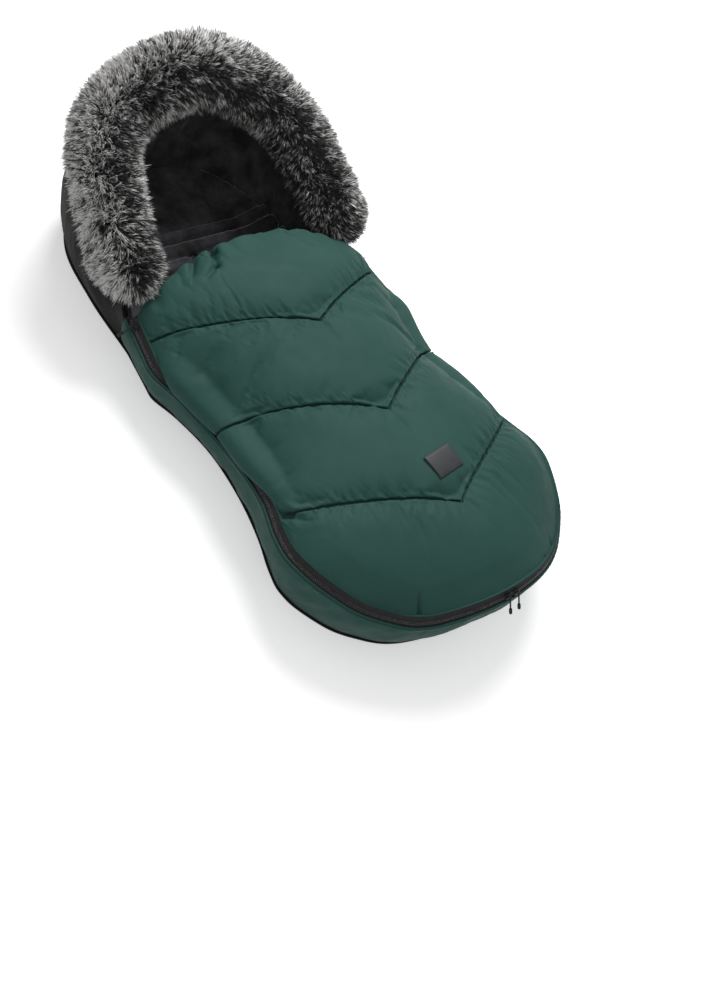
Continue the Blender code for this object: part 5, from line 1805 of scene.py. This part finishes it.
def strands_mesh(name, rng, control, look, shade):
    """Tapered three-sided strands, each curved by its root, its bend and its tip."""
    root, bend, tip = control
    count = len(root)
    curve = [root * (1 - t) ** 2 + bend * 2 * t * (1 - t) + tip * t ** 2 for t in (*STRAND_STEPS, 1.0)]
    run = unit(tip - root)
    first = unit(np.cross(run, rng.normal(0, 1, (count, 3))))
    second = np.cross(run, first)
    rings = []
    for t, place in zip(STRAND_STEPS, curve):
        radius = FUR_ROOT_RADIUS * (1 - t * STRAND_TAPER_SHARE)
        for turn in around(3):
            rings.append(place + (first * math.cos(turn) + second * math.sin(turn)) * radius)
    points = np.stack(rings + [curve[-1]], 1)
    size = len(rings) + 1
    sides = ((0, 1), (1, 2), (2, 0))
    quads = [(low + a, low + b, low + 3 + b, low + 3 + a) for low in (0, 3) for a, b in sides]
    tips = [(6 + a, 6 + b, 9) for a, b in sides]
    start = (np.arange(count) * size)[:, None, None]
    faces = [(start + np.array(group)[None]).reshape(-1, len(group[0])) for group in (quads, tips)]
    lengths = np.append(np.repeat(STRAND_STEPS, 3), 1.0)
    uv = np.stack(np.broadcast_arrays(lengths[None], shade[:, None]), -1)
    return mesh_piece(name, points, faces, look, uv)


# Camera and studio

def build_camera():
    """Camera where the photo was taken from."""
    data = bpy.data.cameras.new("camera")
    data.sensor_fit = "AUTO"
    data.sensor_width = SENSOR
    data.lens = SENSOR * FOCAL_PIXELS / PHOTO_HEIGHT
    camera = bpy.data.objects.new("camera", data)
    turn = Matrix((CAMERA_RIGHT, -CAMERA_DOWN, -CAMERA_AHEAD)).transposed().to_4x4()
    camera.matrix_world = Matrix.Translation(CAMERA_PLACE) @ turn
    bpy.context.scene.collection.objects.link(camera)
    bpy.context.scene.camera = camera


def area_light(name, place, size, power):
    """Round soft light aimed at the bag."""
    data = bpy.data.lights.new(name, "AREA")
    data.shape = "DISK"
    data.size = size
    data.energy = power
    light = bpy.data.objects.new(name, data)
    aim = Vector(LIGHT_TARGET) - Vector(place)
    light.matrix_world = Matrix.Translation(place) @ aim.to_track_quat("-Z", "Y").to_matrix().to_4x4()
    bpy.context.scene.collection.objects.link(light)


def build_floor():
    """Pale floor that keeps its shadow and glows only where a camera or a reflection sees it."""
    look, shader = new_look("studio_floor", (0.80, 0.80, 0.80), 0.9)
    path = add_node(look, "ShaderNodeLightPath")
    seen = add_node(look, "ShaderNodeMath", {"operation": "MAXIMUM"})
    join(look, path.outputs["Is Camera Ray"], seen.inputs[0])
    join(look, path.outputs["Is Glossy Ray"], seen.inputs[1])
    shaded(look, shader, seen.outputs[0], (0.0, (0.80, 0.80, 0.80)), (1.0, (1.0, 1.0, 1.0)))
    set_inputs(shader, Specular_IOR_Level=0.0, Emission_Color=(1, 1, 1, 1))
    glow = add_node(look, "ShaderNodeMath", {"operation": "MULTIPLY"})
    glow.inputs[1].default_value = FLOOR_GLOW
    join(look, seen.outputs[0], glow.inputs[0])
    join(look, glow.outputs[0], shader.inputs["Emission Strength"])
    corners = [(x * FLOOR_HALF, y * FLOOR_HALF, 0) for x, y in ((-1, -1), (1, -1), (1, 1), (-1, 1))]
    floor = mesh_piece("studio_ground", corners, (((0, 1, 2, 3),),), look)
    floor.location.z = -FLOOR_DROP


def build_room():
    """Bright room, soft key from the right of the head and fill from the foot."""
    world = bpy.data.worlds.new("studio")
    bpy.context.scene.world = world
    world.use_nodes = True
    background = world.node_tree.nodes["Background"]
    set_inputs(background, Color=(1, 1, 1, 1))
    path = add_node(world, "ShaderNodeLightPath")
    strength = add_node(world, "ShaderNodeMapRange", To_Min=ROOM_LIGHT, To_Max=ROOM_SEEN)
    join(world, path.outputs["Is Camera Ray"], strength.inputs["Value"])
    join(world, strength.outputs["Result"], background.inputs["Strength"])
    area_light("key", KEY_PLACE, KEY_SIZE, KEY_POWER)
    area_light("fill", FILL_PLACE, FILL_SIZE, FILL_POWER)


def main():
    bpy.context.scene.view_settings.view_transform = "Standard"
    build_camera()
    build_floor()
    build_room()
    nylon = nylon_look()
    plush = plush_look()
    cloth = cloth_look("black_polyester", (0.009, 0.009, 0.010))
    tape_cloth = tape_look()
    metal = metal_look()
    thread = cloth_look("green_thread", (0.020, 0.060, 0.050), SEWING_THREAD_PITCH)
    outer = build_apron(nylon, plush, thread)
    build_zip(tape_cloth, teeth_look())
    build_patch(patch_look(), outer)
    build_gusset(nylon, plush)
    build_hood(cloth, plush)
    build_fur(fur_look(), cloth_look("fur_backing_black", (0.006, 0.006, 0.006)))
    build_back(cloth, plush, tape_cloth)
    build_sliders(metal)
    for name in ("zip_top_stop_left", "zip_top_stop_right"):
        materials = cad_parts[name].data.materials
        materials.clear()
        materials.append(metal)
    bpy.context.view_layer.update()


main()
